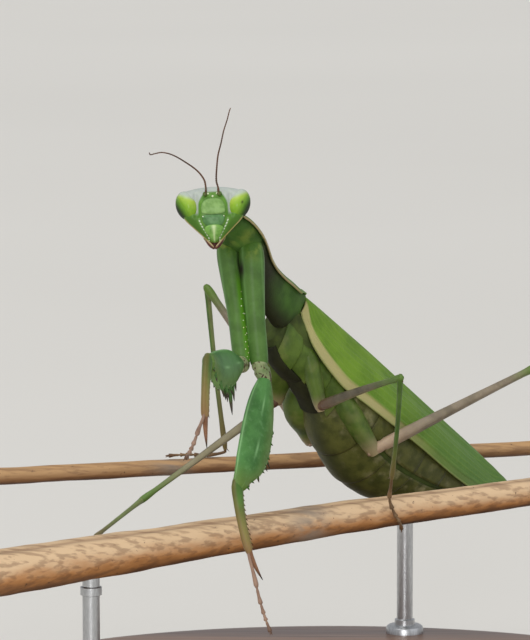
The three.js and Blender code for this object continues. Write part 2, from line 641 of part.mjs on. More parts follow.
makeHead();
makeAntenna("antenna_left", 1, ANTENNA_LEFT);
makeAntenna("antenna_right", -1, ANTENNA_RIGHT);
makeProthorax();
makeTrunk();
makeWings();
foreLeg("fore_left", FORE_LEFT);
foreLeg("fore_right", FORE_RIGHT);
const perches = { front: makePerch("perch_front", FRONT_STEM), rear: makePerch("perch_rear", REAR_STEM) };
walkingLeg("mid_left", MID, 1, { ...MID_LEFT, perch: perches.front });
walkingLeg("mid_right", MID, -1, { ...MID_RIGHT, perch: perches.front });
walkingLeg("hind_left", HIND, 1, { ...HIND_LEFT, perch: perches.rear });
walkingLeg("hind_right", HIND, -1, { ...HIND_RIGHT, perch: perches.rear });
makeStand(perches);

export default parts;
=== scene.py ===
"""A life-size praying mantis on two dry stems over a wooden stand: its looks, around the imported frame.

Pieces are modelled in millimetres, in axes of their own, and then set in place in the frame, in metres.
A limb's own axes: +Z from base to tip, +Y towards its belly side. A mantis's left is the viewer's right.
"""

from math import asin, atan2, copysign, cos, exp, pi, radians, sin, sqrt

import bpy
import numpy as np
from mathutils import Matrix, Vector, noise


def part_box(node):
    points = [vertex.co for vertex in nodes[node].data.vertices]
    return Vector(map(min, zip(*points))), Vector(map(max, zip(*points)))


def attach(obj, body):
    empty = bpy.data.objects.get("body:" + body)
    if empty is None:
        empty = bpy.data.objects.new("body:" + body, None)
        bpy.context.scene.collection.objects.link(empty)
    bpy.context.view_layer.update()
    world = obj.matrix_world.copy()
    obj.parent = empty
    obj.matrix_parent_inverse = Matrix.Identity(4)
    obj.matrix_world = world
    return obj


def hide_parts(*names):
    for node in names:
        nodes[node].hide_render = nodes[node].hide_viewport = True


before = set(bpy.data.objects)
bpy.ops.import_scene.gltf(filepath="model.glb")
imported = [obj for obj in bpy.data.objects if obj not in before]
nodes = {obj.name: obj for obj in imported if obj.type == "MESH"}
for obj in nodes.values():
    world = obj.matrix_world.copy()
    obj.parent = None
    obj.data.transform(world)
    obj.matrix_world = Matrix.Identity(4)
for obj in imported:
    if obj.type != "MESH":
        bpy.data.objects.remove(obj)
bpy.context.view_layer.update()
MM = 0.001


# ---- numbers ------------------------------------------------------------------------------------
def mix(a, b, t):
    return a + (b - a) * t


def step(low, high, x):
    """0 below low, 1 above high, and smooth between."""
    t = min(max((x - low) / (high - low), 0.0), 1.0)
    return t * t * (3 - 2 * t)


def hump(x, middle, width):
    return exp(-(((x - middle) / width) ** 2))


def course(*stations):
    """A function that runs smoothly through (place, value) stations."""

    def slope(a, b):
        return 0.0 if b[0] == a[0] else (b[1] - a[1]) / (b[0] - a[0])

    def value(t):
        if t <= stations[0][0]:
            return stations[0][1]
        for i in range(1, len(stations)):
            if t <= stations[i][0]:
                break
        else:
            return stations[-1][1]
        a, b = stations[i - 1], stations[i]
        before = stations[max(i - 2, 0)]
        after = stations[min(i + 1, len(stations) - 1)]
        span = b[0] - a[0]
        k = (t - a[0]) / span
        m0, m1 = slope(before, b) * span, slope(a, after) * span
        rise = (2 * k**3 - 3 * k**2 + 1) * a[1] + (3 * k**2 - 2 * k**3) * b[1]
        return rise + (k**3 - 2 * k**2 + k) * m0 + (k**3 - k**2) * m1

    return value


def heading(azimuth, elevation):
    flat = cos(radians(elevation))
    a = radians(azimuth)
    return Vector((flat * cos(a), flat * sin(a), sin(radians(elevation))))


def axes(origin, along, towards):
    """A place whose +Z runs along and whose +Y leans towards."""
    z = along.normalized()
    y = (towards - towards.dot(z) * z).normalized()
    x = y.cross(z)
    turn = Matrix((x, y, z)).transposed().to_4x4()
    return Matrix.Translation(origin) @ turn


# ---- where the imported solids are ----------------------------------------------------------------
def corners(node):
    """A CAD node's own points, in millimetres."""
    points = np.array([v.co for v in nodes[node].data.vertices], float) / MM
    return np.unique(points.round(4), axis=0)


def meeting(first, second, reach=0.25):
    """The middle of the place where two CAD nodes face each other."""
    a, b = corners(first), corners(second)
    apart = np.linalg.norm(a[:, None] - b[None], axis=2)
    i, j = np.where(apart < apart.min() + reach)
    return Vector((a[np.unique(i)].mean(0) + b[np.unique(j)].mean(0)) / 2)


def midline(node, start, count):
    """Points down the middle of a long CAD node, from the end at start."""
    points = corners(node)
    order = np.argsort(np.linalg.norm(points - np.array(start), axis=1))
    return [Vector(group.mean(0)) for group in np.array_split(points[order], count)]


# ---- modelling ----------------------------------------------------------------------------------
def deselect():
    bpy.ops.object.select_all(action="DESELECT")


def pick(*pieces):
    deselect()
    for piece in pieces:
        piece.select_set(True)
    bpy.context.view_layer.objects.active = pieces[0]


def begin(name):
    """Names the primitive that was just added and opens it for editing."""
    piece = bpy.context.object
    piece.name = piece.data.name = name
    bpy.ops.object.mode_set(mode="EDIT")
    return piece


def close(piece):
    """Turns every face outwards and ends the editing."""
    bpy.ops.mesh.select_all(action="SELECT")
    bpy.ops.mesh.normals_make_consistent(inside=False)
    bpy.ops.object.mode_set(mode="OBJECT")
    bpy.ops.object.transform_apply(location=True, rotation=True, scale=True)
    return piece


def grow(name, sides, rings):
    """A closed limb drawn up +Z ring by ring: each ring is a height, two half sizes and its middle."""
    deselect()
    z, wide, deep, x, y = rings[0]
    bpy.ops.mesh.primitive_circle_add(vertices=sides, radius=1, fill_type="NGON", location=(x, y, z))
    piece = begin(name)
    bpy.ops.transform.resize(value=(wide, deep, 1), center_override=(x, y, z))
    for (z0, wide0, deep0, x0, y0), (z, wide, deep, x, y) in zip(rings, rings[1:]):
        bpy.ops.mesh.extrude_region_move(TRANSFORM_OT_translate={"value": (x - x0, y - y0, z - z0)})
        bpy.ops.transform.resize(value=(wide / wide0, deep / deep0, 1), center_override=(x, y, z))
    return close(piece)


def shape(piece, rule):
    """Moves every point of a piece to where rule puts it."""
    for v in piece.data.vertices:
        v.co = rule(v.co)
    return piece


def mark(piece, **rules):
    """Writes named numbers on the points of a piece, for its finish to read."""
    for name, rule in rules.items():
        layer = piece.data.attributes.get(name) or piece.data.attributes.new(name, "FLOAT", "POINT")
        layer.data.foreach_set("value", [rule(v.co) for v in piece.data.vertices])
    return piece


def modify(piece, kind, **settings):
    """Adds a modifier with its settings and applies it."""
    pick(piece)
    bpy.ops.object.modifier_add(type=kind)
    modifier = piece.modifiers[-1]
    for key, value in settings.items():
        setattr(modifier, key, value)
    bpy.ops.object.modifier_apply(modifier=modifier.name)
    return piece


def plate(piece, where, place, thick, marks):
    """Marks a flat net of faces, bends it and gives it thickness. where(p) is a point's own place on
    the net, from which place and the marks work."""
    bpy.ops.object.mode_set(mode="OBJECT")
    mark(piece, **{key: (lambda p, r=rule: r(*where(p))) for key, rule in marks.items()})
    shape(piece, lambda p: place(*where(p)))
    modify(piece, "SOLIDIFY", thickness=thick, offset=0)
    bpy.ops.object.mode_set(mode="EDIT")
    return piece


def shell(name, across, along, place, thick, marks=None):
    """A curved plate: place(u, v) is its middle surface, with u across and v along, both 0 to 1."""
    deselect()
    bpy.ops.mesh.primitive_grid_add(x_subdivisions=across, y_subdivisions=along, size=1)
    marks = {"span": lambda u, v: u, "run": lambda u, v: v, **(marks or {})}
    piece = plate(begin(name), lambda p: (p.x + 0.5, p.y + 0.5), place, thick, marks)
    bpy.ops.mesh.select_all(action="SELECT")
    bpy.ops.mesh.remove_doubles(threshold=1e-4)
    return close(piece)


def disc(name, sides, rings, place, thick, marks=None):
    """A plate with a round net of faces: place(r, angle) is its middle surface, r from 0 to 1."""
    deselect()
    bpy.ops.mesh.primitive_circle_add(vertices=sides, radius=1, fill_type="NGON")
    piece = begin(name)
    for _ in range(rings - 1):
        bpy.ops.mesh.inset(thickness=1 / rings * cos(pi / sides))
    bpy.ops.mesh.poke()

    def polar(p):
        return min(sqrt(p.x * p.x + p.y * p.y), 1.0), atan2(p.y, p.x)

    return close(plate(piece, polar, place, thick, {"span": lambda r, a: r, **(marks or {})}))


def ball(name, segments, rings, rule, marks=None):
    """A closed body sculpted from a sphere: rule gets points of the unit sphere, its poles at +-Z."""
    deselect()
    bpy.ops.mesh.primitive_uv_sphere_add(segments=segments, ring_count=rings, radius=1)
    piece = begin(name)
    bpy.ops.object.mode_set(mode="OBJECT")
    mark(piece, **(marks or {}))
    shape(piece, rule)
    bpy.ops.object.mode_set(mode="EDIT")
    return close(piece)


def limb(name, length, wide, deep=None, bow=None, carve=None, back=None, sides=20, rings=22, even=False):
    """A limb segment of its own length. wide and deep give its half sizes, bow how its middle
    bends, back how much of deep its back side has, and carve how far each place stands out, as a
    share of the half size. Its rings crowd towards both ends, unless they are even."""
    deep = deep or wide
    bow = bow or (lambda t: (0.0, 0.0))
    stations = [i / rings if even else (1 - cos(pi * i / rings)) / 2 for i in range(rings + 1)]
    piece = grow(name, sides, [(t * length, wide(t), deep(t), *bow(t)) for t in stations])

    def around(p):
        t = min(max(p.z / length, 0.0), 1.0)
        x, y = p.x - bow(t)[0], p.y - bow(t)[1]
        return t, x, y, atan2(y / deep(t), x / wide(t))

    def carved(p):
        t, x, y, angle = around(p)
        out = 1 + carve(t, angle)
        if back and y < 0:
            y *= back(t)
        return Vector((bow(t)[0] + x * out, bow(t)[1] + y * out, p.z))

    carve = carve or (lambda t, angle: 0.0)
    shape(piece, carved)
    return mark(piece, run=lambda p: around(p)[0], belly=lambda p: sin(around(p)[3]),
                flank=lambda p: cos(around(p)[3]))


def follow(piece, path, up):
    """Bends a straight limb along a path: +Z becomes the way along it, +Y leans towards up."""
    spots = [Vector(p) for p in path]
    reach = [0.0]
    for a, b in zip(spots, spots[1:]):
        reach.append(reach[-1] + (b - a).length)
    way = [course(*[(s, p[k]) for s, p in zip(reach, spots)]) for k in range(3)]
    small = reach[-1] / 200

    def at(s):
        return Vector([w(s) for w in way])

    def rule(p):
        s = min(max(p.z, 0.0), reach[-1])
        ahead = (at(min(s + small, reach[-1])) - at(max(s - small, 0.0))).normalized()
        y = (up - up.dot(ahead) * ahead).normalized()
        return at(s) + ahead * (p.z - s) + y.cross(ahead) * p.x + y * p.y

    return shape(piece, rule)


def settle(piece, finish, spot=None):
    """Sets a piece from millimetres in its own axes into the frame, and gives it its finish."""
    pick(piece)
    piece.matrix_world = Matrix.Scale(MM, 4) @ (spot or Matrix.Identity(4))
    bpy.ops.object.transform_apply(location=True, rotation=True, scale=True)
    piece.data.materials.clear()
    piece.data.materials.append(finish)
    bpy.ops.object.shade_smooth()
    return piece


def crease(piece, angle):
    """Keeps a piece's sharp edges sharp in the shading."""
    pick(piece)
    bpy.ops.object.shade_smooth_by_angle(angle=radians(angle))
    return piece


def copied(piece, name):
    twin = piece.copy()
    twin.data = piece.data.copy()
    twin.name = twin.data.name = name
    bpy.context.scene.collection.objects.link(twin)
    return twin


def joined(*pieces, name=None):
    """Joins pieces onto the first one, which keeps its name or gets a new one."""
    pick(*pieces)
    bpy.ops.object.join()
    if name:
        pieces[0].name = pieces[0].data.name = name
    return pieces[0]


def fit(piece, slot, *cad_nodes):
    """Hands a finished piece to the frame, in place of the CAD nodes it stands for."""
    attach(piece, "root")
    if cad_nodes:
        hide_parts(*cad_nodes)
    return piece


# ---- finishes -----------------------------------------------------------------------------------
def dye(red, green, blue):
    """A colour given as it looks on a screen, 0 to 255, as the shaders want it."""

    def linear(value):
        part = value / 255
        return part / 12.92 if part <= 0.04045 else ((part + 0.055) / 1.055) ** 2.4

    return (linear(red), linear(green), linear(blue), 1.0)


class Wire:
    """A shader socket that takes part in arithmetic. Each operation adds its own Math node."""

    def __init__(self, finish, socket):
        self.finish = finish
        self.socket = socket

    def math(self, operation, *values):
        return self.finish.node("ShaderNodeMath", {"operation": operation}, dict(enumerate(values)))

    def __add__(self, other):
        return self.math("ADD", self, other)

    def __sub__(self, other):
        return self.math("SUBTRACT", self, other)

    def __rsub__(self, other):
        return self.math("SUBTRACT", other, self)

    def __mul__(self, other):
        return self.math("MULTIPLY", self, other)

    def step(self, low, high):
        """0 below low, 1 above high, and smooth between; low may be the greater."""
        settings = {"interpolation_type": "SMOOTHSTEP"}
        return self.finish.node("ShaderNodeMapRange", settings, {0: self, 1: low, 2: high})

    def hump(self, middle, width):
        """1 at the middle, falling to 0 at width on both sides."""
        return self.math("ABSOLUTE", self - middle).step(width, 0.0)


class Finish:
    """A material being made, with the nodes that the finishes here share."""

    def __init__(self, name):
        self.material = bpy.data.materials.new(name)
        self.material.use_nodes = True
        self.tree = self.material.node_tree
        self.tree.nodes.clear()
        self.place = self.node("ShaderNodeTexCoord", output="Object")

    def node(self, kind, settings=None, inputs=None, output=0):
        made = self.tree.nodes.new(kind)
        for key, value in (settings or {}).items():
            setattr(made, key, value)
        for key, value in (inputs or {}).items():
            if isinstance(value, Wire):
                self.tree.links.new(value.socket, made.inputs[key])
            else:
                made.inputs[key].default_value = value
        return None if output is None else Wire(self, made.outputs[output])

    def mark(self, name):
        """A number marked on the piece's own points."""
        return self.node("ShaderNodeAttribute", {"attribute_name": name}, output="Fac")

    def turned(self, along, stretch):
        """Object places turned so that X runs along a direction, then stretched axis by axis."""
        turn = along.rotation_difference(Vector((1, 0, 0))).to_euler()
        inputs = {"Vector": self.place, "Rotation": turn, "Scale": stretch}
        return self.node("ShaderNodeMapping", {"vector_type": "POINT"}, inputs)

    def noise(self, size, detail=3.0, rough=0.5, place=None, distortion=0.0):
        """Soft noise whose features are about size millimetres across."""
        inputs = {"Vector": place or self.place, "Scale": 1 / (size * MM), "Detail": detail}
        inputs |= {"Roughness": rough, "Distortion": distortion}
        return self.node("ShaderNodeTexNoise", {}, inputs)

    def cells(self, size, feature="F1"):
        """Cells about size millimetres across: the distance from their middles, or to their edges."""
        inputs = {"Vector": self.place, "Scale": 1 / (size * MM)}
        return self.node("ShaderNodeTexVoronoi", {"feature": feature}, inputs)

    def blend(self, factor, first, second):
        """Two colours mixed. Each is a wire, or a colour as it looks on a screen."""
        first, second = (each if isinstance(each, Wire) else dye(*each) for each in (first, second))
        settings = {"data_type": "RGBA", "blend_type": "MIX"}
        return self.node("ShaderNodeMix", settings, {0: factor, 6: first, 7: second}, output=2)

    def paint(self, colour, *coats):
        """Lays coats of colour over each other, each through its own mask."""
        for mask, shade in coats:
            colour = self.blend(mask, colour, shade)
        return colour

    def mask(self, share, *factors):
        """A mask made of factors. A factor is a mark's name, a mark's name and the bounds of a step
        over it, a noise's size (and detail) and such bounds, or a function of the finish."""
        product = None
        for factor in factors:
            if callable(factor):
                wire = factor(self)
            elif isinstance(factor, str):
                wire = self.mark(factor)
            else:
                *source, low, high = factor
                make = self.mark if isinstance(source[0], str) else self.noise
                wire = make(*source).step(low, high)
            product = product * wire if product else wire
        return product if share == 1 else product * share

    def surface(self, colour, roughness, height=None, depth=0.03, **constant):
        """Ends the finish: depth is how many millimetres a height of 1 stands out."""
        inputs = {"Base Color": colour, "Roughness": roughness, **constant}
        if height:
            inputs["Normal"] = self.node("ShaderNodeBump", {}, {"Height": height, "Distance": depth * MM})
        shader = self.node("ShaderNodeBsdfPrincipled", {}, inputs)
        self.node("ShaderNodeOutputMaterial", {}, {"Surface": shader}, output=None)
        return self.material


WAXY = {"Subsurface Weight": 0.05, "Subsurface Radius": (0.7, 1.0, 0.2), "Subsurface Scale": 0.0005,
        "Specular IOR Level": 0.22}

CREAM = (206, 196, 150)
BONE = (238, 240, 222)
SOOT = (28, 22, 16)
BARK = (84, 58, 40)


def cuticle(name, base, deep, *coats, gloss=0.42, grain=0.012, patch=1.7):
    """Insect shell: two mottled tones under fine grain, with coats of colour painted over. A coat
    is how strong it is, its colour and the factors of its mask."""
    f = Finish(name)
    fine = f.noise(0.13, detail=2.0)
    colour = f.blend(f.noise(patch, detail=4.0).step(0.36, 0.68), base, deep)
    colour = f.blend(fine.step(0.5, 0.8) * 0.35, colour, deep)
    colour = f.paint(colour, *((f.mask(share, *factors), shade) for share, shade, *factors in coats))
    roughness = f.noise(0.5) * 0.16 + (gloss - 0.08)
    height = fine + f.cells(0.24) * 0.6
    return f.surface(colour, roughness, height, grain, **WAXY)


def pale_belly(share=0.2):
    """A leg's first coat: its belly is a little paler than its back."""
    return share, CREAM, ("belly", 0.2, 1.0)


def spine(name, root, shaft, start):
    """Spines: the colour of the leg at their roots, a brown shaft and a black tip."""
    return cuticle(name, root, root, (1, shaft, ("run", start, start + 0.3)), (1, SOOT, ("run", 0.7, 0.92)),
                   gloss=0.3, grain=0.005)


def make_finishes():
    """Every shell finish of the mantis."""
    return {
        "face": cuticle(
            "face_shell", (92, 136, 50), (72, 116, 34),
            # painted sheen: the pale grey crown coat stands for the sky reflected on the top of the head
            (0.94, (172, 178, 172), "crown"), (0.8, (62, 98, 26), "cheek"), (0.5, (66, 104, 44), "seam"),
            (1, (190, 166, 100), "rim"), (1, BONE, "bead"),
            gloss=0.34, patch=0.9),
        "brow": cuticle(
            "brow_shield", (128, 162, 94), (106, 142, 74), (0.4, (84, 124, 60), ("span", 0.86, 1.0)),
            gloss=0.36, patch=0.5, grain=0.02),
        "clypeus": cuticle(
            "clypeus_plate", (86, 128, 76), (68, 108, 58), (0.4, (64, 98, 48), ("span", 0.84, 1.0)),
            gloss=0.32, patch=0.5),
        "labrum": cuticle(
            # painted highlight: the pale ridge down the labrum's middle
            "labrum_plate", (112, 156, 72), (88, 132, 52), (0.7, (196, 210, 158), "ridge"),
            gloss=0.3, patch=0.4),
        "jaw": cuticle(
            "jaw_plates", (86, 42, 34), (62, 30, 26),
            (1, (208, 190, 142), "lip"), (0.6, (104, 136, 66), ("run", 0.1, 0.0)),
            gloss=0.3),
        "palp": cuticle("palp_joints", (140, 132, 80), (116, 96, 62)),
        "feeler": cuticle(
            "feeler_threads", (92, 62, 44), (66, 44, 32), (1, (84, 112, 52), ("run", 0.1, 0.04)), gloss=0.5),
        "neck": cuticle("neck_skin", (62, 92, 40), (46, 70, 28), gloss=0.55),
        "pronotum": cuticle(
            "pronotum_shield", (88, 128, 56), (68, 102, 42),
            (0.6, (104, 140, 52), ("run", 0.75, 1.0)), (0.9, (158, 140, 100), "rim"),
            (0.5, (60, 92, 40), "keel")),
        "breast": cuticle(
            "breast_plates", (64, 98, 34), (48, 78, 24),
            (0.35, (140, 152, 62), lambda f: f.mark("run").hump(0.17, 0.06), (1.5, 0.45, 0.65)),
            # painted shade: from a fifth of the way back the breast darkens to nearly black, except on its
            # sides at the rear end
            (0.94, (32, 32, 14), ("run", 0.2, 0.42),
             lambda f: 1.0 - f.mask(1, ("run", 0.52, 0.82), ("belly", 0.95, 0.4))),
            gloss=0.66),
        # painted shade: the hind body's breast plates are nearly black, as if in shadow
        "keel": cuticle("keel_plates_painted_shade", (40, 42, 18), (28, 30, 12), gloss=0.72),
        "flank": cuticle(
            "flank_plates", (84, 106, 38), (62, 82, 28), (0.25, (128, 128, 74), (2.2, 0.52, 0.66)),
            gloss=0.46),
        "belly": cuticle(
            "belly_bands", (86, 88, 40), (62, 66, 26),
            (0.32, CREAM, (1.6, 4.0, 0.48, 0.72), (4.0, 0.4, 0.62)), (0.4, (62, 64, 32), ("run", 0.84, 1.0)),
            # painted shade: a dark band down the middle of each plate, along the belly's keel and the middle
            # of the back
            (0.75, (50, 54, 28), lambda f: f.mark("span").hump(0.5, 0.26)),
            gloss=0.5, grain=0.02, patch=1.3),
        "soft": cuticle("soft_skin_between_plates", (72, 86, 34), (52, 62, 24), gloss=0.7),
        "coxa": cuticle(
            "fore_coxa_shell", (68, 108, 42), (54, 92, 32), pale_belly(0.04),
            (1, (64, 98, 30), "collar"), (0.5, (140, 152, 62), "collar", (1.3, 0.5, 0.66)),
            (0.3, (90, 128, 64), (0.6, 4.0, 0.5, 0.75)), (0.4, (116, 158, 90), "edge"),
            (1, (80, 130, 30), "inner"), (1, SOOT, "spot")),
        "trochanter": cuticle(
            "fore_trochanter_shell", (146, 150, 112), (98, 116, 72), pale_belly(),
            (1, (62, 42, 28), (0.45, 4.0, 0.52, 0.6))),
        "femur": cuticle(
            "fore_femur_shell", (74, 122, 62), (54, 98, 44), pale_belly(0.05),
            (0.35, (104, 146, 94), (0.5, 4.0, 0.5, 0.75)), (0.65, (146, 190, 132), "edge"),
            (0.42, (92, 112, 40), ("belly", -0.1, 0.9)), (0.7, (92, 114, 46), ("run", 0.75, 0.97))),
        "tibia": cuticle(
            "fore_tibia_shell", (76, 112, 46), (60, 92, 36), pale_belly(),
            (1, (126, 116, 64), ("run", 0.2, 0.75)), (0.7, (134, 100, 66), ("run", 0.7, 1.0)),
            (0.5, (108, 80, 48), ("belly", -0.5, -1.0))),
        "claw": cuticle(
            "fore_claws", (134, 96, 70), (106, 72, 50), (1, SOOT, ("run", 0.65, 0.95)), gloss=0.28),
        "fore_foot": cuticle(
            "fore_foot_joints", (146, 118, 100), (116, 90, 74), (0.7, (72, 50, 38), ("run", 0.86, 1.0))),
        "hip": cuticle(
            "hip_shell", (84, 104, 40), (62, 82, 28), pale_belly(),
            (0.3, (128, 128, 78), (2.0, 0.5, 0.7)), (0.6, (184, 158, 128), ("run", 0.72, 1.0))),
        "mid_thigh": cuticle(
            "mid_femur_shell", (106, 98, 80), (82, 76, 62), pale_belly(),
            (1, (98, 72, 54), ("run", 0.34, 0.05)), (1, (86, 112, 50), ("run", 0.6, 0.95))),
        "hind_thigh": cuticle(
            "hind_femur_shell", (130, 118, 100), (106, 96, 80), pale_belly(),
            (0.8, (178, 152, 126), ("run", 0.36, 0.0)), (1, (84, 108, 44), ("run", 0.78, 0.96))),
        "shin": cuticle(
            "walking_tibia_shell", (78, 106, 44), (62, 86, 36), pale_belly(),
            (0.85, (112, 94, 58), ("run", 0.5, 1.0))),
        "foot": cuticle(
            "walking_foot_joints", (124, 98, 70), (94, 72, 50), (0.7, BARK, ("run", 0.85, 1.0))),
        "green_thorn": spine("green_spines", (62, 98, 42), (58, 46, 30), 0.42),
        "brown_thorn": spine("brown_spines", (130, 112, 66), BARK, 0.2),
        "bead": cuticle("bead_white", BONE, CREAM, gloss=0.3, grain=0.002),
    }


def eye_finish():
    """Compound eyes under a clear gloss, with painted light and shade: lime above and inside, dark green
    below and outside, and a pale painted sky sheen on top.
    """
    f = Finish("eye_lenses")
    up, out = f.mark("up"), f.mark("out")
    cloud = f.noise(0.8, detail=2.0) * 0.3
    # rim: painted shade, darkest at the outer and lower edge of the eye; lime: painted light on its upper,
    # inner part
    rim = out * 0.9 + up * -0.5 + cloud * 0.4
    lime = (up * 0.8 + out * -0.4 + cloud).step(0.0, 0.8) * 0.7
    colour = f.paint(
        f.blend(lime, (120, 160, 40), (178, 196, 80)),
        # painted shade towards the eye's outer and lower edge
        (rim.step(0.2, 0.75) * 0.8, (72, 118, 22)),
        (rim.step(0.58, 1.0), (18, 38, 4)),
        # painted sky sheen: pale grey on the upper, inner part of the eye
        (f.mark("orbit_sheen") * 0.92, (172, 182, 174)),
        (f.mark("dot"), (30, 40, 12)),
    )
    facets = f.cells(0.05, feature="DISTANCE_TO_EDGE").step(0.0, 0.12)
    roughness = rim.step(0.3, 0.8) * 0.55 + 0.12
    return f.surface(colour, roughness, facets, 0.003, **{"Coat Weight": 0.12, "Coat Roughness": 0.1, **WAXY})


def ocellus_finish():
    f = Finish("simple_eye_lenses")
    colour = f.blend(f.noise(0.1).step(0.3, 0.7), (236, 238, 214), (206, 214, 170))
    return f.surface(colour, 0.1, f.noise(0.05), 0.001, **{"Coat Weight": 0.8})


def wing_finish(name, base, deep, band, fade):
    """Folded wing: leathery green between raised long veins, with a net of small cross veins."""
    f = Finish(name)
    span, run = f.mark("span"), f.mark("run")
    net = f.node("ShaderNodeCombineXYZ", {}, {0: span * 11.0, 1: run * 46.0, 2: 0.0})
    inputs = {"Vector": net, "Scale": 1.4, "Randomness": 0.8}
    cross = f.node("ShaderNodeTexVoronoi", {"feature": "DISTANCE_TO_EDGE"}, inputs).step(0.09, 0.0)
    colour = f.paint(
        f.blend(f.noise(3.0, detail=4.0).step(0.35, 0.7), base, deep),
        (run.step(0.2, 0.85) * 0.8, fade),
        (cross * 0.12, band),
        (f.mark("vein") * 0.2, band),
        (f.mark("costa") * 0.9, (170, 160, 110)),
        (f.mark("edge") * 0.7, (128, 136, 76)),
    )
    height = cross * 0.5 + f.noise(0.3) * 0.4
    return f.surface(colour, f.noise(0.8) * 0.15 + 0.42, height, 0.02, **WAXY)


def stem_finish(name, base, pale, fleck_and_shade, along):
    """Dry stem: long fibres, brown flecks and weathered blotches. It is paler on top and darker underneath,
    partly its own two tones and partly painted shade.
    """
    f = Finish(name)
    fibre = f.noise(0.5, detail=4.0, place=f.turned(along, (0.018, 1.0, 1.0)))
    streak = f.noise(1.1, detail=4.0, place=f.turned(along, (0.05, 1.0, 1.0)))
    spots = f.noise(1.0, detail=5.0, rough=0.6, place=f.turned(along, (0.3, 1.0, 1.0)))
    # top runs from -1 under the stem to 1 on top; the pale top and darker underside are partly the stem's own
    # tones, partly painted light and shade
    top = f.mark("top") + (streak - 0.5) * 0.9
    colour = f.paint(
        f.blend(top.step(-0.5, 0.55), base, pale),
        # painted shade: the underside darkened, and darkest of all at the bottom
        (top.step(-0.2, -0.9) * 0.85, fleck_and_shade),
        (top.step(-0.7, -1.1) * 0.7, (44, 28, 16)),
        (fibre.step(0.46, 0.62) * 0.45, fleck_and_shade),
        (spots.step(0.64, 0.7) * 0.38, fleck_and_shade),
        (f.noise(0.6).step(0.68, 0.74) * 0.8, (58, 36, 22)),
        (f.mark("groove") * 0.5, fleck_and_shade),
        (f.mark("joint") * streak.step(0.35, 0.6) * 0.8, (130, 116, 102)),
        (f.mark("pith"), (222, 206, 168)),
    )
    return f.surface(colour, f.noise(0.7) * 0.2 + 0.5, fibre + spots * 0.5, 0.06)


def wood_finish():
    """Dark satin wood: growth bands along X, fine pores and a soft polish."""
    f = Finish("base_wood")
    along = Vector((1, 0.04, 0))
    bands = f.noise(5.0, detail=5.0, distortion=0.6, place=f.turned(along, (0.05, 1.0, 0.6)))
    pores = f.noise(0.5, place=f.turned(along, (0.04, 1.0, 1.0)))
    colour = f.blend(bands.step(0.35, 0.65), (122, 84, 54), (78, 50, 32))
    colour = f.blend(pores.step(0.55, 0.8) * 0.6, colour, (48, 30, 20))
    polish = {"Coat Weight": 0.25, "Coat Roughness": 0.2}
    return f.surface(colour, pores * 0.2 + 0.32, pores * -1.0, 0.05, **polish)


def steel_finish():
    """Brushed steel rod, with its brush lines round it."""
    f = Finish("rod_steel")
    lines = f.noise(0.3, place=f.turned(Vector((0, 0, 1)), (8.0, 0.4, 0.4)))
    colour = f.blend(lines.step(0.3, 0.7), (196, 197, 198), (168, 169, 171))
    return f.surface(colour, lines * 0.2 + 0.22, lines, 0.01, Metallic=1.0)


def floor_finish():
    f = Finish("studio_floor")
    return f.surface(f.blend(f.noise(400.0).step(0.3, 0.7), (214, 211, 205), (210, 207, 201)), 0.7)


# ---- the body's own axes ------------------------------------------------------------------------
UP = Vector((0, 0, 1))
HEAD_CENTRE = Vector((-13, -19, 58.5))
FACE = heading(-90, 4)
HEAD_ROLL = 2.5
NAPE = Vector((0.7, 2.9, 0.6))  # from the head's centre to the root of the prothorax
PROTHORAX = (62.5, -32.5)
PROTHORAX_LENGTH = 20.5
HIND_BODY = (44, -37)


def trunk_axes(root, way):
    """+X to the mantis's left, +Y down to its belly, +Z back along its body."""
    back = heading(*way)
    left = back.cross(UP).normalized()
    return axes(root, back, back.cross(left))


head_up = Matrix.Rotation(radians(HEAD_ROLL), 3, FACE) @ heading(-90, 94)
HEAD = axes(HEAD_CENTRE, FACE, head_up)  # +X left, +Y up, +Z to where the face looks
FORE = trunk_axes(HEAD_CENTRE + NAPE, PROTHORAX)
REAR = trunk_axes(FORE @ Vector((0, 0, PROTHORAX_LENGTH)), HIND_BODY)


def side_name(side):
    return "left" if side > 0 else "right"


def across(vector, way):
    way = way.normalized()
    return (vector - vector.dot(way) * way).normalized()


def power(value, exponent):
    return copysign(abs(value) ** exponent, value)


# ---- head ---------------------------------------------------------------------------------------
HEAD_TOP = 2.78
HEAD_FOOT = -2.95
CROWN_FROM = 1.8  # where the head's depth starts to close upwards
CHIN_FROM = -2.4  # and downwards
CHIN_ROUND = -2.6  # where its width starts to close downwards
CROWN_REACH = 3.6  # half the crown's width where its arch has fallen by CROWN_FALL
CROWN_FALL = 0.62
FACE_FLATNESS = 2.6
SOCKET = (0.75, 1.98)  # of a feeler, out and up
BEAD_APART = 0.3  # from one pale bead on the cheek line to the next
TUBERCLE = (1.06, -0.16)  # of the white pair beside the brow shield, out and up
EYE_MIDDLE = (2.7, 0.92, -0.1)  # out, up and forward from the head's centre
EYE_HALF = (1.12, 1.52, 1.42)  # half an eye's width, height and depth
EYE_TAPER = 0.06  # how much narrower an eye is at its top than at its middle
PUPIL = Vector((0.42, 0.89, 0.16))  # the dark dot on the left eye, on the unit sphere
